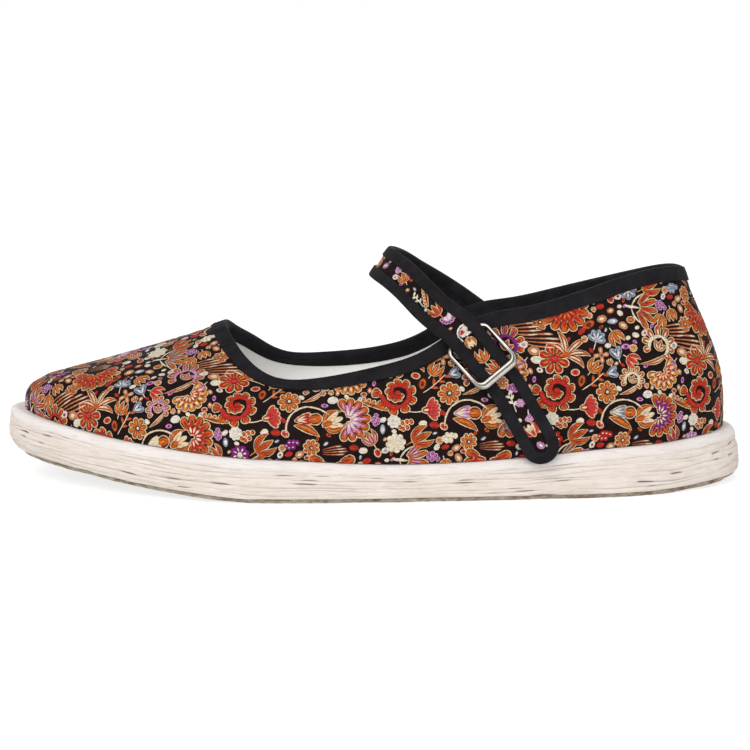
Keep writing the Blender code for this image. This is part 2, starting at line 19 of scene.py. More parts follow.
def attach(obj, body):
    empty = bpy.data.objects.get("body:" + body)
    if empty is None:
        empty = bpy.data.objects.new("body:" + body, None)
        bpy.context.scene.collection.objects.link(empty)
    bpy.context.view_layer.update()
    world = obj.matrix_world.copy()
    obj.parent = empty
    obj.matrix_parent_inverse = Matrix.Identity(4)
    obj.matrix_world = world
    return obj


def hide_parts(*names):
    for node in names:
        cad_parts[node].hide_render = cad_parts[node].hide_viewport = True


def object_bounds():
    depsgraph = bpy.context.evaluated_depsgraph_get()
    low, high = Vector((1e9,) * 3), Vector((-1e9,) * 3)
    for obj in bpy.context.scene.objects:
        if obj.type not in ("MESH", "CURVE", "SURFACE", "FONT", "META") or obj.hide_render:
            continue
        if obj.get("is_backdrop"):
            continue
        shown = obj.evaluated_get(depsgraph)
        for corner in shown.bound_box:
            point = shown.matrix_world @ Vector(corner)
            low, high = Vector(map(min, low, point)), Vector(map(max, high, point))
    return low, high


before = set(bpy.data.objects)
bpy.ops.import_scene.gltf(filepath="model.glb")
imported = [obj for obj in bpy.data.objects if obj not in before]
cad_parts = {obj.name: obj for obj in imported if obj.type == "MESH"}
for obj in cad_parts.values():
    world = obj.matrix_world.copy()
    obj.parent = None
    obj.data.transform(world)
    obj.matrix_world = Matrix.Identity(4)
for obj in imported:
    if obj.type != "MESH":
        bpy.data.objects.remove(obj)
cad_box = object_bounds()

# The model's own sizes, as in its source
SOLE_LENGTH = 0.257
BALL_WIDTH = 0.089
SOLE_THICKNESS = 0.0143
TOE_SPRING = 0.0094
HEEL_ROCKER = 0.0022
HEEL_HEIGHT = 0.0743
INSTEP_HEIGHT = 0.0552
CLEARANCE = 0.0003
UPPER_WALL = 0.0018
UPPER_INSET_SIDE = 0.0027
UPPER_INSET_END = 0.0060
TAPE = 0.00045
COLLAR_BINDING_WIDTH = 0.0046
OUTSOLE_THICKNESS = 0.0016
OUTSOLE_INSET = 0.0016
TOP_LAYER_THICKNESS = 0.0032
STRAP_WIDTH = 0.0125
STRAP_CORE = 0.0014
STRAP_BINDING_WIDTH = 0.0040
STRAP_FLARE = 0.011
STRAP_FLARE_RUN = 0.045
BUCKLE_LENGTH = 0.0195
BUCKLE_TOP_BAR = 0.0018
BUCKLE_FOOT_BAR = 0.0030
BUCKLE_SIDE_BAR = 0.0016
BUCKLE_THICKNESS = 0.0015
BUCKLE_CORNER = 0.0034
BUCKLE_PLAY = 0.0008
BUCKLE_TOP_AT = 0.706
HALF_BALL = BALL_WIDTH / 2

SoleRow = namedtuple("SoleRow", "at outer inner")
SOLE_OUTLINE = (
    SoleRow(0.000, 0.000, 0.000),
    SoleRow(0.025, 0.345, 0.345),
    SoleRow(0.070, 0.545, 0.545),
    SoleRow(0.140, 0.735, 0.700),
    SoleRow(0.250, 0.850, 0.750),
    SoleRow(0.370, 0.915, 0.775),
    SoleRow(0.490, 0.980, 0.855),
    SoleRow(0.600, 1.000, 0.960),
    SoleRow(0.700, 0.970, 1.000),
    SoleRow(0.780, 0.850, 0.965),
    SoleRow(0.850, 0.680, 0.865),
    SoleRow(0.910, 0.480, 0.705),
    SoleRow(0.960, 0.275, 0.520),
    SoleRow(1.000, -0.135, 0.135),
)
ThicknessRow = namedtuple("ThicknessRow", "at share")
SOLE_THICKNESSES = (
    ThicknessRow(0.00, 1.19),
    ThicknessRow(0.10, 1.19),
    ThicknessRow(0.20, 1.14),
    ThicknessRow(0.30, 0.99),
    ThicknessRow(0.40, 0.89),
    ThicknessRow(0.50, 0.89),
    ThicknessRow(0.60, 0.98),
    ThicknessRow(0.70, 1.03),
    ThicknessRow(0.85, 1.02),
    ThicknessRow(1.00, 1.09),
)
EdgeRow = namedtuple("EdgeRow", "height side heel toe")
SOLE_EDGE = (
    EdgeRow(0.00, 0.07, 0.04, 0.26),
    EdgeRow(0.12, 0.02, 0.01, 0.14),
    EdgeRow(0.30, 0.00, 0.00, 0.02),
    EdgeRow(0.55, 0.02, 0.04, 0.00),
    EdgeRow(0.80, 0.06, 0.11, 0.04),
    EdgeRow(0.94, 0.10, 0.17, 0.08),
    EdgeRow(1.00, 0.15, 0.24, 0.15),
)
RibRow = namedtuple("RibRow", "foot collar outer inner rise_outer rise_inner wall reach drop belly")
RIBS = (
    RibRow(0.000, 0.084, 0.000, 0.000, 0.990, 0.990, 0.46, 0.45, 0.35, 0.032),
    RibRow(0.025, 0.091, 0.170, 0.170, 1.006, 0.995, 0.46, 0.45, 0.35, 0.032),
    RibRow(0.070, 0.113, 0.305, 0.300, 1.020, 0.988, 0.45, 0.45, 0.35, 0.030),
    RibRow(0.140, 0.163, 0.455, 0.445, 1.016, 0.958, 0.45, 0.45, 0.35, 0.034),
    RibRow(0.250, 0.256, 0.595, 0.562, 0.955, 0.905, 0.45, 0.45, 0.35, 0.038),
    RibRow(0.310, 0.310, 0.632, 0.605, 0.932, 0.880, 0.46, 0.45, 0.34, 0.038),
    RibRow(0.370, 0.370, 0.660, 0.640, 0.902, 0.850, 0.48, 0.46, 0.32, 0.038),
    RibRow(0.430, 0.429, 0.685, 0.672, 0.775, 0.730, 0.52, 0.48, 0.28, 0.038),
    RibRow(0.490, 0.480, 0.705, 0.695, 0.716, 0.670, 0.55, 0.50, 0.24, 0.038),
    RibRow(0.600, 0.570, 0.705, 0.705, 0.668, 0.652, 0.60, 0.50, 0.18, 0.036),
    RibRow(0.700, 0.630, 0.625, 0.640, 0.688, 0.695, 0.65, 0.52, 0.15, 0.032),
    RibRow(0.780, 0.665, 0.480, 0.520, 0.790, 0.812, 0.65, 0.60, 0.26, 0.026),
    RibRow(0.850, 0.685, 0.290, 0.365, 0.888, 0.896, 0.62, 0.70, 0.42, 0.020),
    RibRow(0.910, 0.696, 0.150, 0.230, 0.952, 0.957, 0.57, 0.78, 0.58, 0.014),
    RibRow(0.960, 0.700, 0.060, 0.135, 0.976, 0.978, 0.52, 0.84, 0.67, 0.010),
    RibRow(1.000, 0.701, -0.030, 0.030, 0.981, 0.981, 0.48, 0.87, 0.72, 0.008),
)
HEEL_COLLAR = RIBS[0].collar
THROAT = RIBS[-1].collar
ArchRow = namedtuple("ArchRow", "across along rise lean")
STRAP_ARCH = (
    ArchRow(0.000, 0.4880, 1.368, 54),
    ArchRow(0.247, 0.4740, 1.338, 52),
    ArchRow(0.494, 0.4470, 1.247, 48),
    ArchRow(0.674, 0.4185, 1.129, 44),
)
WallRow = namedtuple("WallRow", "along rise off")
LIES_ON_BINDING = TAPE + 2 * CLEARANCE + TAPE + STRAP_CORE / 2 + CLEARANCE
OVER_BAR = LIES_ON_BINDING + BUCKLE_THICKNESS + 6 * CLEARANCE
STRAP_OUTER_SIDE = (
    WallRow(0.3830, 0.985, OVER_BAR),
    WallRow(0.3580, 0.844, LIES_ON_BINDING + 0.0006),
    WallRow(0.3385, 0.744, LIES_ON_BINDING + 0.0002),
    WallRow(0.3067, 0.516, LIES_ON_BINDING + 0.0004),
    WallRow(0.2885, 0.370, LIES_ON_BINDING + 0.0012),
)
STRAP_INNER_SIDE = (
    WallRow(0.3900, 0.985, LIES_ON_BINDING + 0.0002),
    WallRow(0.3700, 0.860, LIES_ON_BINDING),
    WallRow(0.3500, 0.720, LIES_ON_BINDING),
)
TIP_ALONG = 0.2750
TIP_HEIGHT = 0.0133

# The soft cloth and its tapes
CLOTH_RIPPLE = 0.00012
BACK_SEAM_DEPTH, BACK_SEAM_WIDTH = 0.00045, 0.012
TAPE_RIPPLE, TAPE_SWELL = 0.00008, 0.00012
STRAP_TAPE_RIPPLE = 0.00006
# From the cloth to the hollow side of a tape, and to the two faces of the strap's backing
TAPE_HOLLOW = 0.0002
BACKING_NEAR, BACKING_FAR = 0.00002, 0.00016
# Where a seam lies on its tape, from the fold, and how thick its thread is
COLLAR_SEAM, STRAP_SEAM = 0.86, 0.88
TAPE_THREAD, INSOLE_THREAD = 0.00011, 0.00022
INSOLE_SEAM_INSET = 0.0105
# The two grooves of the buckle's foot bar: where each lies from the outer edge in, its width and depth
BUCKLE_GROOVE = (0.47, 0.09, 0.00048)
BUCKLE_STEP = (0.20, 0.05, 0.00014)
# The sole: the gap between two layers, how far a seam wanders as a share of a ply, how far a ply stands
# out and how deep its grooves and splits are, how far the wrapped edge lifts, wrinkles and swells, and how
# uneven the floor sheet's edge is and how far it stands out
LAYER_GAP = 0.0001
PLIES = 7
PLY_WAVER = 0.30
PLY_PROUD, PLY_SOFT_GROOVE, PLY_SPLIT = 0.00014, 0.00034, 0.00062
WRAP_LIFT, WRAP_WRINKLE, WRAP_SWELL = 0.0004, 0.00005, 0.00010
SHEET_UNEVEN, SHEET_OUT = 0.0004, 0.0009

# How finely the looks are cut
AROUND = 384
UP = 48
FLAT_EVERY_ROUND = 6
FLAT_EVERY_UP = 6
STRAP_STATIONS = 150
SOLE_STATIONS = 720
# From one stitch of a seam to the next
TAPE_STITCH = 0.0021
INSOLE_STITCH = 0.0042


# The shoe's own shape


def units(vectors):
    """The vectors at length 1."""
    return vectors / np.linalg.norm(vectors, axis=-1, keepdims=True)


def spline(knots, rows, period=None):
    """A smooth curve through the rows at their knots: closed if it has a period, else free at its ends."""
    knots = np.array(knots, float)
    rows = np.array(rows, float).reshape(len(knots), -1)
    if period:
        knots = np.append(knots, knots[0] + period)
        rows = np.vstack([rows, rows[:1]])
    gaps = np.diff(knots)
    slopes = np.diff(rows, axis=0) / gaps[:, None]
    last = len(knots) - 1
    system = np.zeros((last + 1, last + 1))
    bends = np.zeros_like(rows)
    for i in range(1, last):
        system[i, i - 1 : i + 2] = gaps[i - 1], 2 * (gaps[i - 1] + gaps[i]), gaps[i]
        bends[i] = 6 * (slopes[i] - slopes[i - 1])
    if period:
        system[0, [0, 1, last - 1]] = 2 * (gaps[-1] + gaps[0]), gaps[0], gaps[-1]
        bends[0] = 6 * (slopes[0] - slopes[-1])
        system[last, [0, last]] = 1, -1
    else:
        system[0, 0] = system[last, last] = 1
    curve = np.linalg.solve(system, bends)

    def value(knot):
        knot = np.asarray(knot, float)
        if period:
            knot = (knot - knots[0]) % period + knots[0]
        i = np.clip(np.searchsorted(knots, knot, "right") - 1, 0, last - 1)
        after = ((knot - knots[i]) / gaps[i])[..., None]
        before = 1 - after
        sag = (before**3 - before) * curve[i] + (after**3 - after) * curve[i + 1]
        return before * rows[i] + after * rows[i + 1] + sag * gaps[i][..., None] ** 2 / 6

    return value


def angle_at(share):
    """The angle round the sole at a share of its length from the heel, on the outer side."""
    return math.acos(1 - 2 * share)


def round_the_shoe(shares, outer_rows, inner_rows):
    """A closed spline over the angle through the outer rows and back through the inner ones."""
    angles = [angle_at(share) for share in shares]
    back = range(len(shares) - 2, 0, -1)
    knots = angles + [2 * math.pi - angles[i] for i in back]
    return spline(knots, list(outer_rows) + [inner_rows[i] for i in back], 2 * math.pi)


sole_side = round_the_shoe(
    [row.at for row in SOLE_OUTLINE],
    [row.outer for row in SOLE_OUTLINE],
    [-row.inner for row in SOLE_OUTLINE],
)
thickness_share = spline([row.at for row in SOLE_THICKNESSES], [row.share for row in SOLE_THICKNESSES])
edge_insets = spline([row.height for row in SOLE_EDGE], [row[1:] for row in SOLE_EDGE])
SHAPES = "collar wall reach drop belly".split()
rib_at = round_the_shoe(
    [row.foot for row in RIBS],
    [(row.outer, row.rise_outer, *(getattr(row, name) for name in SHAPES)) for row in RIBS],
    [(-row.inner, row.rise_inner, *(getattr(row, name) for name in SHAPES)) for row in RIBS],
)


def x_at(share):
    """The place along the shoe at a share of the sole's length from the heel."""
    return (share - 0.5) * SOLE_LENGTH


def sole_floor(x):
    """The underside's height: flat from heel to ball, rising at the toe and a little at the heel."""
    share = x / SOLE_LENGTH + 0.5
    spring_from, rocker_to = 0.66, 0.14
    toe = np.maximum(0.0, (share - spring_from) / (1 - spring_from)) ** 1.2
    heel = np.maximum(0.0, (rocker_to - share) / rocker_to) ** 1.5
    return TOE_SPRING * toe + HEEL_ROCKER * heel


def sole_thickness(x):
    """The sole's thickness at a place along it."""
    return SOLE_THICKNESS * thickness_share(x / SOLE_LENGTH + 0.5)[..., 0]


def sole_top(x):
    """The height of the sole's top at a place along it."""
    return sole_floor(x) + sole_thickness(x)


def outline(angle, inset):
    """The sole's plan at an angle round it from the heel, moved in by an inset."""
    x = -(SOLE_LENGTH / 2 - inset) * np.cos(angle)
    y = sole_side(angle)[..., 0] * (HALF_BALL - inset)
    return x, y


def end_blend(angle):
    """1 at the heel and the toe, falling to 0 along the sides."""
    return np.cos(angle) ** 4


def foot_inset(angle):
    """How far the upper's foot stands in from the sole's edge."""
    return UPPER_INSET_SIDE + (UPPER_INSET_END - UPPER_INSET_SIDE) * end_blend(angle)


def foot_line(angle):
    """The line on which the upper meets the sole, in plan."""
    return outline(angle, foot_inset(angle))


def topline(share):
    """The straight line from heel to throat that the collar's own heights are shares of."""
    ahead = (share - HEEL_COLLAR) / (THROAT - HEEL_COLLAR)
    return HEEL_HEIGHT + (INSTEP_HEIGHT - HEEL_HEIGHT) * ahead


def rib(angle):
    """The four control points of the rib that starts at an angle round the sole."""
    side, rise, collar, wall, reach, drop, belly = np.moveaxis(rib_at(angle), -1, 0)
    x, y = foot_line(angle)
    foot = np.stack([x, y, sole_top(x) + CLEARANCE], -1)
    top = np.stack([x_at(collar), side * HALF_BALL, rise * topline(collar)], -1)
    step = 1e-3
    ahead_x, ahead_y = np.subtract(foot_line(angle + step), foot_line(angle - step))
    outward = units(np.stack([-ahead_y, ahead_x, 0 * ahead_x], -1))
    up = (top - foot) * (0, 0, 1)
    run = (foot - top) * (1, 1, 0)
    low = foot + belly[..., None] * HALF_BALL * outward + wall[..., None] * up
    high = top + reach[..., None] * run - drop[..., None] * up
    return foot, low, high, top


def upper_point(angle, height):
    """A point of the upper's outer face: height runs from 0 at the sole to 1 at the collar."""
    foot, low, high, top = rib(angle)
    height = np.asarray(height, float)[..., None]
    left = 1 - height
    return left**3 * foot + 3 * left**2 * height * low + 3 * left * height**2 * high + height**3 * top


def upper_frame(angle, height):
    """The point, the steps round the shoe and up the rib, and the outward normal of the upper."""
    step = 1e-3
    point = upper_point(angle, height)
    around = (upper_point(angle + step, height) - upper_point(angle - step, height)) / (2 * step)
    up = (upper_point(angle, height + step) - upper_point(angle, height - step)) / (2 * step)
    return point, around, up, units(np.cross(up, around))


def down_from_collar(angle, distances):
    """Points, normals and down directions of the upper's face at distances below the collar."""
    height, gone, found = np.ones_like(angle), 0.0, []
    for distance in distances:
        while distance - gone > 1e-6:
            step = min(0.0008, distance - gone)
            _, around, up, normal = upper_frame(angle, height)
            down = units(np.cross(normal, around)) * step
            aa, ab, bb = (around * around).sum(-1), (around * up).sum(-1), (up * up).sum(-1)
            da, db = (down * around).sum(-1), (down * up).sum(-1)
            whole = aa * bb - ab * ab
            angle = angle + (da * bb - db * ab) / whole
            height = height + (db * aa - da * ab) / whole
            gone += step
        point, around, _, normal = upper_frame(angle, height)
        found.append((point, normal, units(np.cross(normal, around))))
    return found


def wall_at(side, x, z):
    """The upper's outer face and its normal at a place along and up one side, 1 outer or -1 inner."""
    angle = angle_at(x / SOLE_LENGTH + 0.5)
    angle = angle if side > 0 else 2 * math.pi - angle
    height = 0.5
    for _ in range(12):
        point, around, up, normal = upper_frame(angle, height)
        miss = np.array([x - point[0], z - point[2]])
        turn, climb = np.linalg.solve(np.array([[around[0], up[0]], [around[2], up[2]]]), miss)
        angle, height = angle + turn, height + climb
    point, _, _, normal = upper_frame(angle, height)
    return point, normal


def collar_height(side, x):
    """The collar's height over a place along one side."""
    angle = angle_at(x / SOLE_LENGTH + 0.5)
    angle = angle if side > 0 else 2 * math.pi - angle
    for _ in range(8):
        point, around, _, _ = upper_frame(angle, 1.0)
        angle += (x - point[0]) / around[0]
    return upper_point(angle, 1.0)[2]


def strap_rows():
    """The strap's middle line, from its inner end to its tip: points and leans of its width."""
    places, widths = [], []

    def on_wall(side, row):
        point, normal = wall_at(side, x_at(row.along), row.rise * INSTEP_HEIGHT)
        places.append(point + row.off * normal)
        widths.append(None)

    def on_arch(side, row):
        y = side * row.across * HALF_BALL
        places.append(np.array([x_at(row.along), y, row.rise * INSTEP_HEIGHT]))
        lean = math.radians(row.lean)
        widths.append(np.array([-math.cos(lean), 0.0, math.sin(lean)]))

    for row in STRAP_INNER_SIDE[::-1]:
        on_wall(-1, row)
    for row in STRAP_ARCH[::-1]:
        on_arch(-1, row)
    for row in STRAP_ARCH[1:]:
        on_arch(1, row)
    for row in STRAP_OUTER_SIDE:
        on_wall(1, row)
    edge = float(outline(angle_at(TIP_ALONG), 0.0)[1])
    places.append(np.array([x_at(TIP_ALONG), edge + STRAP_CORE / 2 + 2 * CLEARANCE + TAPE, TIP_HEIGHT]))
    widths.append(None)
    return places, widths


def strap_line():
    """The strap's frame along its middle line, as a function, and its length."""
    places, widths = strap_rows()
    steps = [np.linalg.norm(b - a) for a, b in zip(places, places[1:])]
    knots = np.concatenate([[0.0], np.cumsum(steps)])
    middle = spline(knots, places)

    def run(s):
        step = 1e-4
        return units(middle(s + step) - middle(s - step))

    for i, (s, place) in enumerate(zip(knots, places)):
        if widths[i] is None:
            side = math.copysign(1, place[1])
            highest = 0.98 * float(collar_height(side, place[0]))
            _, normal = wall_at(side, place[0], min(place[2], highest))
            widths[i] = units(np.cross(normal, run(s)))
    width = spline(knots, widths)

    def point(along, across, off):
        along, across, off = np.broadcast_arrays(along, across, off)
        ahead = run(along)
        leaning = width(along)
        sideways = units(leaning - (leaning * ahead).sum(-1, keepdims=True) * ahead)
        out = np.cross(ahead, sideways)
        return middle(along) + across[..., None] * sideways + off[..., None] * out

    return point, knots[-1]


def flare(along):
    """How much the strap's rear edge widens where it joins the inner side."""
    return STRAP_FLARE * np.maximum(0.0, 1 - along / STRAP_FLARE_RUN) ** 2


def waver(places, seed, waves, calm=0.7):
    """A smooth uneven line over angles round the shoe, mostly between -1 and 1, the same each run."""
    phases = np.random.default_rng(seed).uniform(0, 2 * math.pi, len(waves))
    total = sum(np.sin(wave * places + phase) for wave, phase in zip(waves, phases))
    return calm * total / math.sqrt(len(waves) / 2)


# Materials


# The soft light all round makes a surface look this much lighter than its own colour.
LIT = 1.55


def srgb(red, green, blue):
    """The surface colour that looks like the screen's 0 to 255 under the studio's light."""
    shares = np.array([red, green, blue]) / 255
    linear = np.where(shares <= 0.04045, shares / 12.92, ((shares + 0.055) / 1.055) ** 2.4)
    return tuple(linear / LIT) + (1.0,)


# Stretches object coordinates from metres to millimetres
MILLIMETRES = (1000, 1000, 1000)


class Shader:
    """A Principled material with short calls for the nodes that feed it."""

    def __init__(self, name, roughness, metallic=0.0, sheen=0.0, coat=0.0, specular=0.5):
        self.material = bpy.data.materials.new(name)
        self.material.use_nodes = True
        self.tree = self.material.node_tree
        self.main = self.tree.nodes["Principled BSDF"]
        self.main.inputs["Roughness"].default_value = roughness
        self.main.inputs["Metallic"].default_value = metallic
        self.main.inputs["Sheen Weight"].default_value = sheen
        self.main.inputs["Sheen Roughness"].default_value = 0.4
        self.main.inputs["Coat Weight"].default_value = coat
        self.main.inputs["Specular IOR Level"].default_value = specular
        self.bump = None

    def node(self, kind, **sockets):
        """Adds a node and feeds its sockets, named with underscores for spaces."""
        made = self.tree.nodes.new(kind)
        for name, value in sockets.items():
            self.feed(made.inputs[name.replace("_", " ")], value)
        return made

    def feed(self, socket, value):
        """Links a socket to a node's output, or sets its value."""
        if isinstance(value, bpy.types.NodeSocket):
            self.tree.links.new(value, socket)
        else:
            socket.default_value = value

    def place(self, kind="Object", stretch=(1, 1, 1)):
        """Object or UV coordinates, stretched by three factors."""
        source = self.tree.nodes.new("ShaderNodeTexCoord").outputs[kind]
        return self.node("ShaderNodeMapping", Vector=source, Scale=stretch).outputs["Vector"]

    def noise(self, place, scale, detail=4.0, rough=0.55):
        """Cloudy values from 0 to 1."""
        made = self.node("ShaderNodeTexNoise", Vector=place, Scale=scale, Detail=detail, Roughness=rough)
        return made.outputs["Fac"]

    def wave(self, place, scale, direction="X", distortion=0.0):
        """Even bands across a direction."""
        made = self.node("ShaderNodeTexWave", Vector=place, Scale=scale, Distortion=distortion)
        made.bands_direction = direction
        return made.outputs["Fac"]

    def fade(self, value, low, high):
        """Turns a value from low to high into 0 to 1."""
        made = self.node("ShaderNodeMapRange", Value=value)
        made.inputs["From Min"].default_value = low
        made.inputs["From Max"].default_value = high
        return made.outputs["Result"]

    def sum(self, first, second, operation="ADD"):
        """Two values added, or joined by another operation."""
        made = self.tree.nodes.new("ShaderNodeMath")
        made.operation = operation
        self.feed(made.inputs[0], first)
        self.feed(made.inputs[1], second)
        return made.outputs[0]

    def mix(self, share, first, second):
        """A blend of two colours."""
        made = self.tree.nodes.new("ShaderNodeMix")
        made.data_type = "RGBA"
        self.feed(made.inputs[0], share)
        self.feed(made.inputs[6], first)
        self.feed(made.inputs[7], second)
        return made.outputs[2]

    def attribute(self, name):
        """A value kept on the mesh's points."""
        made = self.tree.nodes.new("ShaderNodeAttribute")
        made.attribute_name = name
        return made.outputs["Fac"]

    def colour(self, value):
        """Sets the base colour."""
        self.feed(self.main.inputs["Base Color"], value)

    def rough(self, value, low, high):
        """Spreads the roughness between two bounds by a value."""
        made = self.node("ShaderNodeMapRange", Value=value)
        made.inputs["To Min"].default_value = low
        made.inputs["To Max"].default_value = high
        self.feed(self.main.inputs["Roughness"], made.outputs["Result"])

    def relief(self, value, depth, strength=1.0):
        """Adds a bump of a depth in metres on top of the ones so far."""
        made = self.node("ShaderNodeBump", Height=value, Distance=depth, Strength=strength)
        if self.bump:
            self.tree.links.new(self.bump, made.inputs["Normal"])
        self.bump = made.outputs["Normal"]
        self.feed(self.main.inputs["Normal"], self.bump)


def weave(shader, place, pitch):
    """Crossed threads of a pitch, in the units of the place: 0 in the gaps, 1 on the threads."""
    scale = 0.314 / pitch
    return shader.sum(shader.wave(place, scale, "X"), shader.wave(place, scale, "Y"), "MULTIPLY")


def ground_cloth():
    """The brocade's black satin ground."""
    made = Shader("brocade_ground", 0.7, specular=0.06)
    cloth = made.place("UV")
    mottle = made.noise(cloth, 0.35, 5.0)
    made.colour(made.mix(made.fade(mottle, 0.35, 0.7), srgb(19, 11, 11), srgb(38, 20, 18)))
    made.rough(mottle, 0.5, 0.75)
    made.relief(made.wave(cloth, 0.9, "DIAGONAL", 0.6), 0.00005, 0.8)
    made.relief(made.noise(cloth, 2.5, 3.0), 0.00006, 0.6)
    return made.material


def thread(name, tint):
    """Silk threads of one colour, woven into the brocade."""
    made = Shader("thread_" + name, 0.6, specular=0.08)
    cloth = made.place("UV")
    mottle = made.noise(made.place("UV", (0.8, 2.6, 1.0)), 1.0, 4.0, 0.65)
    dark = tuple(0.50 * part for part in tint[:3]) + (1.0,)
    light = tuple(min(1.0, 1.22 * part + 0.012) for part in tint[:3]) + (1.0,)
    made.colour(made.mix(made.fade(mottle, 0.34, 0.64), dark, light))
    made.rough(mottle, 0.42, 0.62)
    made.relief(made.wave(cloth, 1.0, "DIAGONAL", 1.5), 0.00007, 0.8)
    return made.material


def black_tape():
    """Matt black cotton tape, with a fine twill."""
    made = Shader("black_tape", 0.9, sheen=0.02, specular=0.10)
    place = made.place("Object", MILLIMETRES)
    mottle = made.noise(place, 0.25, 5.0)
    made.colour(made.mix(made.fade(mottle, 0.3, 0.7), srgb(22, 20, 23), srgb(37, 35, 38)))
    made.rough(mottle, 0.78, 0.95)
    made.relief(made.wave(place, 0.62, "DIAGONAL", 1.0), 0.00006, 0.7)
    made.relief(made.noise(place, 1.6, 3.0), 0.00008, 0.5)
    return made.material


def cotton(name, clean, soiled, fibre=0.0001, pitch=0.5):
    """Undyed cotton with a loose weave, fibres and faint soiling."""
    made = Shader(name, 0.92, sheen=0.1, specular=0.2)
    place = made.place("Object", MILLIMETRES)
    blotch = made.noise(place, 0.06, 4.0)
    made.colour(made.mix(made.fade(blotch, 0.4, 0.75), clean, soiled))
    made.rough(blotch, 0.85, 0.98)
    made.relief(weave(made, place, pitch), 0.00006, 0.6)
    made.relief(made.noise(place, 1.4, 5.0), fibre, 0.7)
    return made.material


def layered_cotton(name, clean, soiled, streak):
    """The edges of pasted plies: fibres along the edge, and painted shade deep between the plies."""
    made = Shader(name, 0.93, sheen=0.1, specular=0.2)
    place = made.place("Object", (200, 200, 1500))
    fine = made.noise(place, 1.0, 6.0, 0.65)
    blotch = made.noise(made.place("Object", (60, 60, 160)), 1.0, 4.0)
    tone = made.mix(made.fade(blotch, 0.35, 0.7), clean, soiled)
    tone = made.mix(made.fade(fine, 0.50, 0.85), tone, streak)
    # Painted shade: the cotton darkens where a ring lies deep between two plies or in a split
    tone = made.mix(made.fade(made.attribute("gap"), 0.3, 1.0), tone, srgb(120, 98, 86))
    made.colour(tone)
    made.rough(fine, 0.86, 0.98)
    made.relief(fine, 0.00022, 0.9)
    made.relief(made.noise(made.place("Object", (55, 55, 650)), 1.0, 3.0), 0.0005, 0.8)
    return made.material


def floor_cotton():
    """The sheet that the shoe stands on: grey-brown and patchy, with pale stitches underneath."""
    made = Shader("floor_cotton", 0.95, sheen=0.1, specular=0.2)
    place = made.place("Object", (300, 300, 900))
    fine = made.noise(place, 1.0, 6.0, 0.6)
    rows = made.node("ShaderNodeTexBrick", Vector=made.place("Object", MILLIMETRES), Scale=1.0)
    sizes = {"Mortar Size": 1.1, "Mortar Smooth": 0.6, "Brick Width": 5.2, "Row Height": 3.2}
    for name, size in sizes.items():
        rows.inputs[name].default_value = size
    facing = made.node("ShaderNodeSeparateXYZ", Vector=made.place("Normal")).outputs["Z"]
    below = made.fade(facing, -0.5, -0.8)
    stitch = made.sum(below, made.sum(1.0, rows.outputs["Fac"], "SUBTRACT"), "MULTIPLY")
    sheet_tone = made.mix(made.fade(fine, 0.35, 0.65), srgb(132, 116, 94), srgb(200, 188, 168))
    patch = made.noise(made.place("Object", (120, 120, 300)), 1.0, 5.0, 0.7)
    sheet_tone = made.mix(made.fade(patch, 0.52, 0.66), sheet_tone, srgb(124, 92, 62))
    made.colour(made.mix(stitch, sheet_tone, srgb(214, 204, 186)))
    made.rough(fine, 0.88, 1.0)
    made.relief(fine, 0.0002, 0.8)
    made.relief(stitch, 0.0006, 0.9)
    return made.material


NICKEL, WORN_NICKEL = (0.34, 0.325, 0.30, 1.0), (0.24, 0.225, 0.20, 1.0)
# Nearly black nickel for the buckle's painted shade and dark reflections
PAINTED_DARK_NICKEL = (0.045, 0.040, 0.036, 1.0)


def nickel():
    """Polished nickel with faint wear, with painted shade and dark reflections in the grooves and along the
    edges.
    """
    made = Shader("polished_nickel", 0.2, metallic=1.0)
    place = made.place("Object", MILLIMETRES)
    wear = made.noise(place, 0.5, 6.0, 0.6)
    tone = made.mix(made.fade(wear, 0.3, 0.8), NICKEL, WORN_NICKEL)
    # Painted shade and dark reflections, where the mesh marks them
    made.colour(made.mix(made.fade(made.attribute("painted_dark"), 0.1, 0.9), tone, PAINTED_DARK_NICKEL))
    made.rough(wear, 0.10, 0.22)
    made.relief(made.noise(place, 0.18, 2.0), 0.00003, 0.5)
    return made.material


# Meshes


def add_piece(name, points, faces, material, replaced=(), flat=None, values=None):
    """A smooth piece that rides on the shoe. flat gives it UVs in millimetres, values an attribute."""
    mesh = bpy.data.meshes.new(name)
    mesh.from_pydata(points.tolist(), [], faces.tolist() if isinstance(faces, np.ndarray) else faces)
    mesh.materials.append(material)
    mesh.shade_smooth()
    if flat is not None:
        corners = np.zeros(len(mesh.loops), int)
        mesh.loops.foreach_get("vertex_index", corners)
        layer = mesh.uv_layers.new(name="cloth")
        layer.data.foreach_set("uv", np.column_stack([flat.real, flat.imag])[corners].ravel())
    for key, numbers in (values or {}).items():
        mesh.attributes.new(key, "FLOAT", "POINT").data.foreach_set("value", np.asarray(numbers, float))
    made = bpy.data.objects.new(name, mesh)
    bpy.context.scene.collection.objects.link(made)
    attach(made, "root")
    for node in replaced:
        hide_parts(node)
    return made


def grid_faces(rows, columns, closed_rows=False, closed_columns=False, flip=False):
    """The faces of a grid of points, wrapped round where it is closed."""
    i, j = np.meshgrid(
        np.arange(rows if closed_rows else rows - 1),
        np.arange(columns if closed_columns else columns - 1),
        indexing="ij",
    )
    i, j = i.ravel(), j.ravel()
    after_i, after_j = (i + 1) % rows, (j + 1) % columns
    corners = [i * columns + j, after_i * columns + j, after_i * columns + after_j, i * columns + after_j]
    return np.stack(corners[::-1] if flip else corners, -1)


# The cloth laid flat


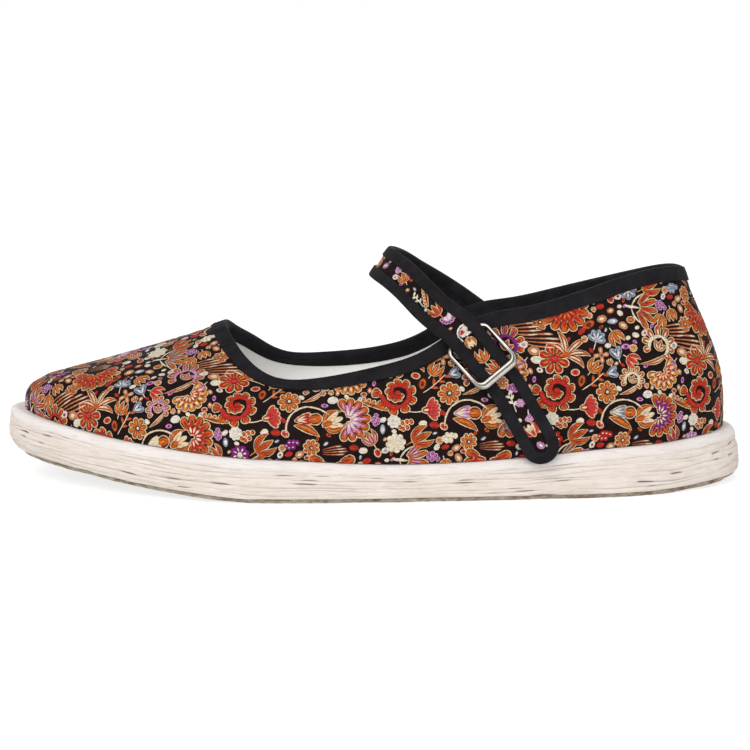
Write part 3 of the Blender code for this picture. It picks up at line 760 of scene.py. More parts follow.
def laid_flat(points, triangles, guess, rounds):
    """Where each point of a curved cloth lies when the cloth is flattened with as little stretch."""
    corners = points[triangles]
    first, second = corners[:, 1] - corners[:, 0], corners[:, 2] - corners[:, 0]
    ahead = units(first)
    aside = units(np.cross(np.cross(first, second), first))
    own = np.zeros((len(triangles), 3), complex)
    own[:, 1] = np.linalg.norm(first, axis=1)
    own[:, 2] = (second * ahead).sum(1) + 1j * (second * aside).sum(1)
    system = np.zeros((len(points), len(points)))
    edges = []
    for k in range(3):
        a, b = (k + 1) % 3, (k + 2) % 3
        turned = (own[:, b] - own[:, k]) / (own[:, a] - own[:, k])
        stiff = np.maximum(turned.real / turned.imag, 0.05)
        i, j = triangles[:, a], triangles[:, b]
        for row, column, sign in ((i, i, 1), (j, j, 1), (i, j, -1), (j, i, -1)):
            np.add.at(system, (row, column), sign * stiff)
        edges.append((i, j, stiff, own[:, a] - own[:, b]))
    system[0, 0] += 1
    inverse = np.linalg.inv(system)
    flat = guess
    for _ in range(rounds):
        turn = sum(stiff * (flat[i] - flat[j]) * edge.conj() for i, j, stiff, edge in edges)
        turn /= np.abs(turn)
        pulls = np.zeros(len(points), complex)
        for i, j, stiff, edge in edges:
            np.add.at(pulls, i, stiff * turn * edge)
            np.add.at(pulls, j, -stiff * turn * edge)
        flat = inverse @ pulls
    return flat


class Cloth:
    """A curved cloth that knows its flat pattern, so that what is drawn flat can be laid on it."""

    def __init__(self, points, normals, flat):
        rows, columns = flat.shape
        quads = grid_faces(rows, columns)
        self.triangles = np.vstack([quads[:, :3], quads[:, [0, 2, 3]]])
        self.points = points.reshape(-1, 3)
        self.normals = normals.reshape(-1, 3)
        self.flat = flat.ravel()
        spots = [(place.real, place.imag, 0.0) for place in self.flat]
        self.tree = BVHTree.FromPolygons(spots, self.triangles.tolist())

    def lay(self, places, heights):
        """The points at these heights over the cloth, and which of the places are on the cloth."""
        found = [self.tree.find_nearest((place.real, place.imag, 0.0)) for place in places]
        spots = np.array([complex(hit[0][0], hit[0][1]) for hit in found])
        inside = np.array([hit[3] for hit in found]) < 1e-4
        corners = self.triangles[[hit[2] for hit in found]]
        a, b, c = self.flat[corners].T
        u, v, w = b - a, c - a, spots - a
        whole = (u.conj() * v).imag
        second = (w.conj() * v).imag / whole
        third = (u.conj() * w).imag / whole
        shares = np.stack([1 - second - third, second, third], -1)[..., None]
        normal = units((self.normals[corners] * shares).sum(1))
        return (self.points[corners] * shares).sum(1) + heights[:, None] * normal, inside


# Soft creases of the upper. along and up are shares of the sole's length and of the upper's height,
# run is how far each reaches and wide how broad it is, in metres, turn its lean from level in degrees,
# and deep is the trough's depth, or a ridge's height where it is below 0.
Crease = namedtuple("Crease", "side along up run wide turn deep")
CREASES = (
    Crease(1, 0.72, 0.62, 0.024, 0.0055, 62, 0.00055),
    Crease(1, 0.69, 0.50, 0.020, 0.0050, 70, -0.00040),
    Crease(-1, 0.71, 0.60, 0.024, 0.0060, 118, 0.00055),
    Crease(-1, 0.67, 0.48, 0.020, 0.0050, 112, -0.00040),
    Crease(1, 0.56, 0.62, 0.018, 0.0045, 35, 0.00040),
    Crease(-1, 0.55, 0.62, 0.020, 0.0050, 145, 0.00045),
    Crease(1, 0.17, 0.50, 0.022, 0.0070, 78, 0.00055),
    Crease(-1, 0.18, 0.52, 0.022, 0.0070, 100, 0.00055),
    Crease(1, 0.06, 0.42, 0.014, 0.0050, 15, 0.00040),
    Crease(-1, 0.40, 0.55, 0.020, 0.0050, 60, 0.00040),
    Crease(1, 0.94, 0.42, 0.012, 0.0040, 80, 0.00030),
    Crease(-1, 0.92, 0.42, 0.012, 0.0040, 96, 0.00030),
)


def build_cloth():
    """The upper's outer face as a cloth: its creased points, its normals and its flat pattern."""
    angles = np.linspace(0, 2 * math.pi, AROUND + 1)[:, None]
    heights = np.linspace(0, 1, UP + 1)[None, :]
    angles, heights = np.broadcast_arrays(angles, heights)
    points, _, _, normals = upper_frame(angles, heights)
    coarse = (slice(None, None, FLAT_EVERY_ROUND), slice(None, None, FLAT_EVERY_UP))
    sparse = points[coarse]
    rows, columns = sparse.shape[:2]
    quads = grid_faces(rows, columns, flip=True)
    triangles = np.vstack([quads[:, :3], quads[:, [0, 2, 3]]])
    drop = sparse[:, -1:, 2] - sparse[..., 2]
    way = units(sparse[:, :1, :2] * (0.5, 1.0))
    spread = sparse[..., :2] + drop[..., None] * way
    guess = -(spread[..., 0] + 1j * spread[..., 1]).ravel()
    flat = laid_flat(sparse.reshape(-1, 3), triangles, guess, 400).reshape(rows, columns)
    steps = np.arange(AROUND + 1) / FLAT_EVERY_ROUND
    climbs = np.arange(UP + 1) / FLAT_EVERY_UP
    flat = np.array([np.interp(climbs, np.arange(columns), row) for row in flat])
    flat = np.array([np.interp(steps, np.arange(rows), column) for column in flat.T]).T
    return angles, heights, points, normals, flat


def grid_spot(points, side, x, z):
    """The grid's nearest index to a place along and up one side of the shoe."""
    away = np.hypot(points[..., 0] - x, points[..., 2] - z) + np.where(points[..., 1] * side > 0, 0, 1)
    return np.unravel_index(np.argmin(away), away.shape)


# The chart of the brocade

# How far the repeat runs along the shoe, and up it, in millimetres. Every second row is half a repeat on.
REPEAT = 52.8
ROW_HEIGHT = 50.5
# Where the chart's corner lies on the outer side, along the shoe and up
CORNER_X, CORNER_Z = -0.0556, 0.0180
# How far a hem stands out round its petal, and how much larger all motifs are than the chart says
HEM = 0.31
GROWTH = 1.10
# How high the layers of silk lie over the ground, and a petal's middle over its edges, in millimetres
LEVELS = (0.04, 0.09, 0.145, 0.19)
DOME = 0.02
# Where a petal's width is given along its spine, and where its edge is cut
STATIONS = (0.0, 0.13, 0.32, 0.54, 0.76, 0.92, 1.0)
EDGE_STATIONS = np.array((0.0, 0.07, 0.17, 0.30, 0.44, 0.58, 0.72, 0.84, 0.94, 1.0))
# The woven edges of the petals step in and out by up to this much
FRAY = 0.075
UNEVEN = np.random.default_rng(17)
# The half width of each shape of petal at the stations, as a share of its fullest
WIDTHS = {
    "petal": (0.42, 0.62, 0.82, 0.98, 0.96, 0.70, 0.25),
    "leaf": (0.10, 0.55, 0.92, 1.00, 0.72, 0.32, 0.06),
    "oval": (0.22, 0.68, 0.94, 1.00, 0.88, 0.58, 0.20),
    "stem": (0.70, 1.00, 1.00, 1.00, 1.00, 0.90, 0.50),
    "feather": (0.15, 0.30, 0.45, 0.68, 0.95, 0.90, 0.35),
    "band": (0.55, 0.90, 1.00, 1.00, 1.00, 0.90, 0.55),
}
THREADS = {
    "sand": srgb(235, 204, 160),
    "orange": srgb(206, 90, 12),
    "amber": srgb(230, 134, 30),
    "rust": srgb(102, 32, 12),
    "red": srgb(200, 30, 14),
    "cream": srgb(238, 222, 190),
    "pearl": srgb(236, 230, 226),
    "lilac": srgb(214, 158, 196),
    "rose": srgb(200, 68, 64),
    "plum": srgb(128, 18, 112),
    "ice": srgb(156, 168, 184),
    "peach": srgb(200, 130, 86),
    "night": srgb(52, 22, 54),
}
# The threads of a motif: its hem, its petals, their veins, its heart and its pale strokes.
Tints = namedtuple("Tints", "hem fill vein heart pale")
PALETTES = {
    # The sun's amber veins are partly pale strokes of the brocade and partly a painted highlight down each
    # orange petal.
    "sun": Tints("sand", "orange", "amber", "rust", "cream"),
    "fire": Tints("sand", "orange", "red", "red", "amber"),
    "ember": Tints("sand", "red", "amber", "red", "rose"),
    "coral": Tints("sand", "rose", "red", "red", "cream"),
    "dawn": Tints("sand", "orange", "accent", "accent", "cream"),
    "noon": Tints("sand", "amber", "cream", "orange", "cream"),
    "mist": Tints("ice", "ice", "pearl", "pearl", "cream"),
    "turning": Tints("accent", "accent", "pearl", "cream", "cream"),
    "violet": Tints("lilac", "plum", "lilac", "pearl", "cream"),
    "dusk": Tints("lilac", "lilac", "pearl", "plum", "pearl"),
    "bone": Tints("pearl", "cream", "pearl", "pearl", "pearl"),
    "nut": Tints("rust", "peach", "sand", "cream", "cream"),
    "eye": Tints("cream", "pearl", "accent", "accent", "night"),
}
# A petal of the first thread is woven over a slightly larger one of the second: the darker rim is partly
# the brocade's own dark contour and partly painted shade that makes the petal look raised.
SHADED = {"orange": "rust", "amber": "rust", "red": "rust", "rose": "red", "lilac": "plum", "ice": "night"}
SHADED_HALF, SHADED_RISE = 0.68, 0.022
ACCENTS = ("red", "lilac", "ice", "plum", "cream")
Petal = namedtuple("Petal", "role layer spine half shape")


def bezier(spine, shares):
    """Points of the Bezier curve with this spine."""
    rows = [np.full(len(shares), place, complex) for place in spine]
    while len(rows) > 1:
        rows = [a + shares * (b - a) for a, b in zip(rows, rows[1:])]
    return rows[0]


def towards(place):
    """The direction of a place on the chart."""
    return place / abs(place) if place else 1.0


def stretch_of(spine, low, high):
    """The part of a spine between two shares of it."""
    a, m, b = bezier(spine, np.array([low, (low + high) / 2, high]))
    return a, 2 * m - (a + b) / 2, b


def hemmed(spine, half, shape="petal", fill="fill", vein="vein", layer=0):
    """A petal with a hem under it and a vein on it."""
    start = spine[0] - HEM * towards(spine[1] - spine[0])
    end = spine[-1] + HEM * towards(spine[-1] - spine[-2])
    found = [
        Petal("hem", layer, (start, *spine[1:-1], end), half + HEM, shape),
        Petal(fill, layer + 1, spine, half, shape),
    ]
    if vein and half > 0.35:
        found.append(Petal(vein, layer + 2, stretch_of(spine, 0.12, 0.72), 0.34 * half, "leaf"))
    return found


def dot(role, layer, place, radius):
    """A round spot of one thread."""
    return Petal(role, layer, (place - radius, place + radius), radius, "oval")


def spokes(count, spread, middle=90.0):
    """Directions spread over an angle round a middle direction, in degrees."""
    gap = spread / (count - 1) if count > 1 else 0
    return [cmath.rect(1, math.radians(middle + gap * (k - (count - 1) / 2))) for k in range(count)]


def daisy(size, petals=8):
    """A round flower seen from its front."""
    found = []
    for way in spokes(petals, 360 * (petals - 1) / petals):
        found += hemmed((0.30 * size * way, size * way), 2.05 * size / petals - 0.08)
    return found + [dot("heart", 2, 0, 0.30 * size), dot("pale", 3, 0.04 * size, 0.14 * size)]


def fan(size, petals=9, spread=215):
    """A large flower seen from its side, with a scalloped edge."""
    found = []
    gap = math.radians(spread) / (petals - 1)
    for way in spokes(petals, spread):
        found += hemmed((0.42 * size * way, size * way), 0.42 * gap * size - 0.10)
    for way in spokes(petals - 2, spread * 0.85):
        spine = (0.12 * size * way, 0.60 * size * way)
        found += hemmed(spine, 0.28 * gap * size, "petal", "heart", "pale", 1)
    return found


def fountain(size):
    """A flower of long petals with pale hearts, on a forked stem."""
    found = []
    base = -0.55j * size
    for way in spokes(5, 105):
        tip = base + 1.5 * size * way
        found += hemmed((base + 0.35 * size * way, tip), 0.17 * size)
        spine = (base + 0.5 * size * way, base + 1.1 * size * way)
        found.append(Petal("heart", 3, spine, 0.075 * size, "leaf"))
    for lean in (-1, 1):
        curl = (base - 0.25j * size, base + (lean * 0.7 - 0.1j) * size, base + (lean * 0.95 + 0.55j) * size)
        found.append(Petal("pale", 1, curl, 0.055 * size, "leaf"))
    stem = (base - 0.75j * size, base - 0.3j * size, base + 0.3j * size)
    found.append(Petal("pale", 2, stem, 0.09 * size, "leaf"))
    return found


def carnation(size):
    """A small flower with narrow petals on a bent stem."""
    base = 0.1j * size
    found = [Petal("pale", 0, (base, (0.15 - 0.45j) * size, (-0.05 - 1.0j) * size), 0.17, "stem")]
    for way in spokes(6, 92):
        found += hemmed((base + 0.25 * size * way, base + 0.88 * size * way), 0.125 * size - 0.02)
    found += hemmed((base - 0.12j * size, base + 0.38j * size), 0.19 * size, "petal", "heart", "pale", 1)
    return found


def curl(size, turns=1.4, beads=14):
    """A rose drawn as a curl with a scalloped outer edge."""
    found = []
    for k in range(beads):
        share = k / (beads - 1)
        way = cmath.rect(1, -2 * math.pi * turns * share - 0.6)
        near = (0.10 + 0.58 * share) * size
        deep = (0.16 + 0.16 * share) * size
        lean = way * cmath.rect(1, -0.35)
        found += hemmed((near * way, near * way + deep * lean), (0.10 + 0.09 * share) * size)
    ribs = 5
    for k in range(ribs):
        shares = [(k + part) / ribs for part in (0.0, 0.5, 1.0)]
        spots = [(0.08 + 0.58 * s) * size * cmath.rect(1, -2 * math.pi * turns * s - 0.6) for s in shares]
        bend = 2 * spots[1] - (spots[0] + spots[2]) / 2
        width = (0.075 + 0.05 * shares[1]) * size
        found.append(Petal("heart", 2, (spots[0], bend, spots[2]), width, "band"))
    return found + [dot("vein", 3, 0, 0.13 * size)]


def crescent(size, tail=True):
    """A comma-shaped flower: a scalloped half ring that runs out in a stem."""
    found = []
    beads = 8
    for k in range(beads):
        share = k / (beads - 1)
        way = cmath.rect(1, math.radians(205 - 235 * share))
        deep = (0.30 + 0.22 * math.sin(math.pi * share)) * size
        found += hemmed((0.50 * size * way, (0.50 * size + deep) * way), 0.135 * size)
    arc = [0.52 * size * cmath.rect(1, math.radians(turn)) for turn in (205, 150, 88, 30, -30)]
    for a, m, b in ((0, 1, 2), (2, 3, 4)):
        bend = 2 * arc[m] - (arc[a] + arc[b]) / 2
        found.append(Petal("heart", 2, (arc[a], bend, arc[b]), 0.085 * size, "band"))
    for way in spokes(3, 84, 80):
        found += hemmed((-0.16j * size, -0.16j * size + 0.50 * size * way), 0.10 * size, "leaf")
    if tail:
        end = (-0.75 - 1.05j) * size
        found += hemmed((arc[4], (0.25 - 0.75j) * size, end), 0.10 * size, "leaf", "fill", "pale")
    return found


def tulip(size):
    """Three pointed petals on a short stem."""
    base = -0.65j * size
    found = [Petal("pale", 0, (base, base - 0.55j * size), 0.15, "stem")]
    for lean in (-1, 1):
        spine = (base, (lean * 0.85 - 0.15j) * size, (lean * 0.62 + 0.85j) * size)
        found += hemmed(spine, 0.24 * size, "leaf")
    return found + hemmed((base, 0.9j * size), 0.25 * size, "leaf", layer=1)


def cup(size):
    """A large bud: an open cup with a pale inside."""
    found = []
    for lean in (-1, 1):
        spine = (-0.8j * size, (lean * 1.25 - 0.5j) * size, (lean * 0.55 + 0.9j) * size)
        found += hemmed(spine, 0.22 * size, "leaf")
    for way in spokes(3, 52):
        spine = (-0.7j * size, -0.7j * size + 1.45 * size * way)
        found += hemmed(spine, 0.15 * size, "petal", "pale", "vein", 1)
    return found + hemmed((-0.95j * size, -0.15j * size), 0.26 * size, "petal", layer=2, vein=None)


def heart(size):
    """Two leaves that meet at a stem."""
    found = [Petal("pale", 0, (-0.6j * size, -1.5j * size), 0.15, "stem")]
    for lean in (-1, 1):
        found += hemmed((-0.65j * size, (lean * 0.25) * size, (lean * 0.62 + 0.75j) * size), 0.36 * size)
    return found


def thistle(size):
    """A tufted flower on a stem."""
    found = [Petal("pale", 0, (-0.3j * size, -1.25j * size), 0.15, "stem")]
    for way in spokes(5, 170):
        found += hemmed((0.1 * size * way - 0.25j * size, 0.85 * size * way), 0.21 * size)
    return found


def cloud(size):
    """A small bunch of round blossoms."""
    found = []
    for place in (-0.75, -0.25 + 0.35j, 0.3 + 0.25j, 0.8 + 0.05j, 0.1 - 0.4j, -0.45 - 0.35j):
        found += hemmed(((place - 0.22) * size, (place + 0.22) * size), 0.27 * size, "oval")
    return found


def oval(size):
    """A single blossom, paler in its middle."""
    return [
        Petal("fill", 0, (-0.95 * size, 0.95 * size), 0.70 * size, "oval"),
        Petal("heart", 1, (-0.50 * size, 0.45 * size), 0.32 * size, "oval"),
    ]


def ring(size):
    """A round eye in a pale ring."""
    return [
        Petal("hem", 0, (-1.1 * size, 1.1 * size), 0.85 * size, "oval"),
        Petal("fill", 1, (-0.85 * size, 0.85 * size), 0.62 * size, "oval"),
        Petal("vein", 2, (-0.45 * size, 0.45 * size), 0.33 * size, "oval"),
    ]


def feathers(size):
    """Long strokes that run out from one end, each with a pale tip."""
    found = []
    for k, lean in enumerate((-0.34, -0.11, 0.12, 0.36)):
        long = (0.88, 1.0, 0.96, 0.78)[k]
        tip = (2 * long - 1.0 + 0.95j * lean) * size
        spine = ((-0.95 + 0.55j * lean) * size, 0.1 + 1.1j * lean * size, tip)
        found += hemmed(spine, 0.052 * size, "feather")
        found.append(Petal("pale", 2, stretch_of(spine, 0.62, 0.94), 0.034 * size, "oval"))
    return found


def sprig(size):
    """A pale stem with leaves on both sides."""
    found = [Petal("pale", 2, (-1.0j * size, (0.12 + 0j) * size, 1.0j * size), 0.16, "stem")]
    for at, lean in ((-0.35, 1), (-0.1, -1), (0.3, 1), (0.5, -1), (0.85, 1)):
        foot = (0.05 + 1j * at) * size
        tip = foot + size * cmath.rect(0.55, math.radians(90 - 48 * lean))
        found.append(Petal("fill", 1, (foot, (foot + tip) / 2 + 0.08j * size, tip), 0.13 * size, "leaf"))
    return found


def fern(size):
    """Curled leaves that rise from one side of a flower."""
    found = []
    leaves = ((150, 0.95, 0.5), (118, 1.1, 0.35), (86, 1.15, -0.25), (56, 1.05, -0.4), (28, 0.9, -0.5))
    for turn, long, bend in leaves:
        way = cmath.rect(1, math.radians(turn))
        tip = long * size * way * cmath.rect(1, bend)
        found += hemmed((0, 0.7 * long * size * way, tip), 0.105 * size, "leaf", vein="pale")
    return found


def bell(size):
    """A curled pale stem that ends in a striped bud, with a leaf under it."""
    found = []
    arc = ((-1.05 - 0.75j) * size, (-1.15 + 0.75j) * size, (0.35 + 1.0j) * size, (1.1 + 0.15j) * size)
    for low, high in ((0, 0.34), (0.33, 0.67), (0.66, 1)):
        found.append(Petal("hem", 1, stretch_of(arc, low, high), 0.30, "stem"))
        found.append(Petal("pale", 2, stretch_of(arc, low, high), 0.16, "stem"))
    for way in spokes(3, 34, 4.0):
        spine = (-0.55 * size, -0.55 * size + 0.78 * size * way)
        found += hemmed(spine, 0.105 * size, "petal", "accent", "pale")
    found += hemmed((0.12 * size - 0.02j * size, 0.72 * size + 0.02j * size), 0.27 * size, "oval")
    under = ((-0.6 - 0.25j) * size, (0.05 - 0.35j) * size, (0.55 - 0.85j) * size)
    found += hemmed(under, 0.17 * size, "leaf")
    return found


def comb(size):
    """A bent leaf with teeth along one edge."""
    found = []
    spine = ((-1.0 + 0.35j) * size, (0.0 - 0.15j) * size, (1.0 - 0.6j) * size)
    for k in range(6):
        foot = complex(bezier(spine, np.array([0.05 + 0.17 * k]))[0])
        tip = foot + size * cmath.rect(0.40, math.radians(62 - 8 * k))
        found += hemmed((foot, tip), 0.115 * size, "petal")
    found += hemmed(spine, 0.12 * size, "leaf", "fill", "heart", 1)
    return found


def cross(size):
    """Four soft strokes that cross."""
    found = []
    for way in spokes(4, 270, 45):
        found.append(Petal("fill", 0, (0.1 * size * way, size * way), 0.28 * size, "petal"))
        found.append(Petal("vein", 1, (0.35 * size * way, 0.85 * size * way), 0.11 * size, "leaf"))
    return found


# One repeat of the brocade. across runs towards the heel and up to the collar, in millimetres, as the
# outer side is seen; turn is in degrees against the clock, and size in millimetres.
Placed = namedtuple("Placed", "kind across up turn size tints")
CHART = [Placed(*row) for row in (
    (fan, 8.8, 46.6, 176, 7.2, "fire"),
    (daisy, 0.2, 42.2, 10, 2.3, "sun"),
    (oval, 20.7, 47.4, 10, 1.4, "ember"),
    (ring, 24.3, 46.0, 15, 1.2, "nut"),
    (oval, 27.6, 45.2, -35, 1.1, "bone"),
    (oval, 21.2, 43.2, 15, 1.7, "nut"),
    (oval, 24.9, 42.4, 5, 1.7, "mist"),
    (oval, 28.6, 41.0, -25, 1.6, "nut"),
    (ring, 31.4, 43.0, 0, 1.3, "sun"),
    (oval, 33.6, 40.4, 20, 0.8, "bone"),
    (fountain, 36.2, 46.8, -98, 5.0, "dawn"),
    (oval, 39.0, 41.0, 60, 0.9, "dusk"),
    (cloud, 43.0, 48.2, -30, 2.1, "violet"),
    (tulip, 42.6, 43.0, 150, 2.7, "sun"),
    (tulip, 47.3, 45.4, 195, 2.3, "sun"),
    (feathers, 48.0, 39.8, 4, 5.2, "nut"),
    (oval, 16.6, 41.2, 32, 2.0, "sun"),
    (oval, 14.2, 39.0, 45, 1.4, "ember"),
    (feathers, 0.6, 36.0, -4, 6.0, "nut"),
    (oval, 50.8, 32.6, -12, 2.0, "nut"),
    (oval, 51.4, 29.6, -5, 1.7, "bone"),
    (thistle, 19.2, 36.6, -18, 3.0, "mist"),
    (tulip, 25.8, 37.2, 215, 2.8, "sun"),
    (oval, 23.0, 34.2, 10, 1.1, "bone"),
    (oval, 30.2, 36.9, 25, 0.9, "bone"),
    (oval, 32.6, 35.6, -30, 0.8, "dusk"),
    (fern, 8.6, 30.6, -32, 7.0, "sun"),
    (daisy, 4.6, 29.8, 0, 4.6, "ember"),
    (oval, 9.6, 36.2, 60, 0.9, "ember"),
    (cross, 20.6, 31.0, 8, 2.5, "nut"),
    (heart, 26.0, 31.6, 20, 2.2, "mist"),
    (tulip, 31.2, 29.4, 240, 2.6, "coral"),
    (tulip, 18.0, 27.0, -38, 2.7, "sun"),
    (crescent, 41.2, 34.0, -14, 6.4, "dawn"),
    (ring, 47.4, 34.6, 20, 1.3, "eye"),
    (ring, 36.2, 38.6, 40, 1.1, "eye"),
    (fan, 42.6, 25.6, 212, 5.4, "noon"),
    (heart, 46.6, 28.0, 140, 1.9, "violet"),
    (ring, 11.6, 25.2, 0, 1.3, "coral"),
    (oval, 13.8, 22.4, 75, 1.8, "sun"),
    (sprig, 17.6, 22.2, -52, 4.2, "sun"),
    (heart, 24.2, 25.2, -75, 2.0, "mist"),
    (curl, 5.4, 19.2, 0, 7.6, "fire"),
    (crescent, 31.2, 22.6, -6, 4.4, "dawn"),
    (daisy, 22.4, 18.6, 20, 3.2, "sun"),
    (oval, 26.6, 19.8, -40, 1.0, "bone"),
    (ring, 36.8, 18.0, 5, 1.4, "bone"),
    (oval, 50.6, 23.0, 80, 1.0, "dusk"),
    (carnation, 13.6, 13.4, -84, 5.2, "coral"),
    (bell, 27.8, 11.8, 0, 6.2, "sun"),
    (cup, 36.6, 10.6, -72, 3.6, "sun"),
    (fan, 41.6, 11.0, -90, 6.6, "dawn"),
    (comb, 50.4, 15.6, 4, 3.8, "sun"),
    (cloud, 50.6, 10.4, 80, 1.7, "violet"),
    (oval, 0.2, 10.4, 30, 1.1, "bone"),
    (cloud, 7.6, 8.6, 20, 2.4, "ember"),
    (daisy, 3.8, 9.8, 0, 1.8, "bone"),
    (oval, 13.4, 9.0, 10, 1.3, "bone"),
    (oval, 17.2, 8.4, -12, 1.6, "ember"),
    (tulip, 12.4, 4.2, -64, 4.0, "fire"),
    (cloud, 22.2, 4.0, 8, 2.2, "turning"),
    (oval, 20.8, 0.8, 12, 1.3, "ember"),
    (daisy, 28.6, 2.4, 0, 2.4, "sun"),
    (oval, 33.6, 3.4, 30, 0.9, "mist"),
    (feathers, 36.4, 0.8, 2, 3.8, "nut"),
    (daisy, 4.2, 2.6, 30, 2.8, "turning"),
    (tulip, 48.6, 4.2, 30, 2.8, "dawn"),
    (ring, 46.0, 0.4, 0, 1.2, "eye"),
)]


# The strap's row of the brocade: across is the way from the strap's tip, up the way to its rear edge.
STRAP_REPEAT = 88.0
STRAP_CHART = [Placed(*row) for row in (
    (ring, 6.4, 0.1, 30, 1.2, "dusk"),
    (oval, 5.4, 2.1, 60, 0.6, "bone"),
    (cup, 12.4, -0.3, 96, 2.2, "coral"),
    (oval, 10.6, 2.0, 80, 0.8, "nut"),
    (oval, 13.6, 2.3, 80, 0.8, "ember"),
    (carnation, 17.0, 1.6, 250, 1.9, "dusk"),
    (oval, 17.0, -1.9, 20, 0.7, "bone"),
    (cloud, 21.8, 1.2, 70, 1.5, "dusk"),
    (sprig, 23.2, -1.3, 84, 3.0, "bone"),
    (thistle, 27.0, 1.0, 50, 1.7, "violet"),
    (daisy, 30.6, -0.6, 10, 1.7, "sun"),
    (oval, 33.0, 1.6, 40, 0.8, "bone"),
    (tulip, 36.2, 0.4, 108, 2.3, "ember"),
    (oval, 36.0, -2.0, 0, 0.7, "bone"),
    (tulip, 41.4, 0.0, 76, 2.6, "sun"),
    (cup, 47.6, -0.2, 262, 1.7, "sun"),
    (bell, 51.8, 0.2, 104, 2.3, "bone"),
    (oval, 55.6, -1.7, 70, 0.7, "nut"),
    (fan, 59.2, 0.9, 268, 2.3, "violet"),
    (tulip, 63.6, 0.2, 84, 2.6, "fire"),
    (comb, 70.0, 0.9, 176, 2.7, "sun"),
    (sprig, 71.2, -1.5, 88, 2.7, "bone"),
    (oval, 66.8, -1.9, 90, 0.7, "bone"),
    (oval, 75.6, 0.4, 0, 0.8, "mist"),
    (tulip, 82.4, 0.7, 70, 2.5, "sun"),
    (oval, 79.4, 1.6, 20, 0.8, "fire"),
    (oval, 77.6, -1.6, 30, 0.9, "nut"),
    (oval, 81.6, -1.7, 40, 0.8, "dusk"),
    (ring, 86.2, -1.1, 10, 1.1, "eye"),
    (daisy, 87.0, 1.6, 60, 1.2, "dusk"),
)]


def petals_of(tints, column, row, index):
    """Turns the parts of a motif into the threads that it takes in this repeat."""
    accent = ACCENTS[(column + 2 * row + 3 * index) % len(ACCENTS)]
    names = dict(zip(Tints._fields, PALETTES[tints]), accent="accent")
    return {role: accent if name == "accent" else name for role, name in names.items()}


def strip_of(petal, half, spot, facing, level):
    """A petal's places on the cloth and their heights: its left edge, its middle and its right edge."""
    line = bezier(petal.spine, EDGE_STATIONS)
    ahead = np.gradient(line)
    aside = 1j * ahead / np.abs(ahead) * half * np.interp(EDGE_STATIONS, STATIONS, WIDTHS[petal.shape])
    fray = min(FRAY, 0.25 * half) / half * UNEVEN.uniform(-1, 1, (2, len(line)))
    strip = np.stack([line + (1 + fray[0]) * aside, line, line - (1 + fray[1]) * aside], -1)
    return spot + facing * strip, np.broadcast_to((level, level + DOME, level), strip.shape)


def gap_fillers():
    """Small blossoms for the places of the repeat that the chart leaves bare."""
    kinds = (
        (oval, "bone"), (oval, "sun"), (ring, "eye"), (oval, "nut"), (oval, "mist"), (daisy, "sun"),
        (oval, "ember"), (oval, "dusk"), (ring, "coral"), (tulip, "sun"), (oval, "nut"),
    )
    draw = np.random.default_rng(11)
    taken = [(complex(placed.across, placed.up), 0.92 * GROWTH * placed.size) for placed in CHART]
    found = []
    for _ in range(3000):
        spot = complex(draw.uniform(0, REPEAT), draw.uniform(0, ROW_HEIGHT))
        room = min(
            abs(spot + complex((column + 0.5 * (row % 2)) * REPEAT, row * ROW_HEIGHT) - place) - reach
            for place, reach in taken
            for row in (-1, 0, 1)
            for column in (-1, 0, 1)
        )
        if room > 1.0:
            kind, tints = kinds[len(found) % len(kinds)]
            size = min(room - 0.3, 1.5 if kind in (oval, ring) else 2.2)
            found.append(Placed(kind, spot.real, spot.imag, draw.uniform(0, 360), size, tints))
            taken.append((spot, size))
    return found


def over_upper(low, high):
    """Where each motif of every repeat lies between two corners of the chart."""
    rows = range(math.floor(low.imag / ROW_HEIGHT) - 1, math.ceil(high.imag / ROW_HEIGHT) + 1)
    columns = range(math.floor(low.real / REPEAT) - 1, math.ceil(high.real / REPEAT) + 1)
    for row in rows:
        shift = 0.5 * REPEAT * (row % 2)
        for column in columns:
            for index, placed in enumerate(CHART + FILLERS):
                spot = complex(placed.across + column * REPEAT + shift, placed.up + row * ROW_HEIGHT)
                reach = 1.6 * placed.size
                if not (low.real - reach < spot.real < high.real + reach):
                    continue
                if low.imag - reach < spot.imag < high.imag + reach:
                    yield index, placed, spot, petals_of(placed.tints, column, row, index)


def along_strap(length):
    """Where each motif of the strap's own row lies, counted from the strap's tip."""
    for lap in range(math.ceil(length / STRAP_REPEAT)):
        for index, placed in enumerate(STRAP_CHART):
            spot = complex(length - placed.across - lap * STRAP_REPEAT, placed.up)
            yield index, placed, spot, petals_of(placed.tints, lap, 1, index)
    row_edge = 1000 * (STRAP_WIDTH / 2 - STRAP_BINDING_WIDTH)
    corner = complex(1000 * STRAP_FLARE_RUN, 1000 * (STRAP_WIDTH / 2 + STRAP_FLARE))
    for found in over_upper(complex(0, row_edge), corner):
        if found[2].imag > row_edge + found[1].size:
            yield found


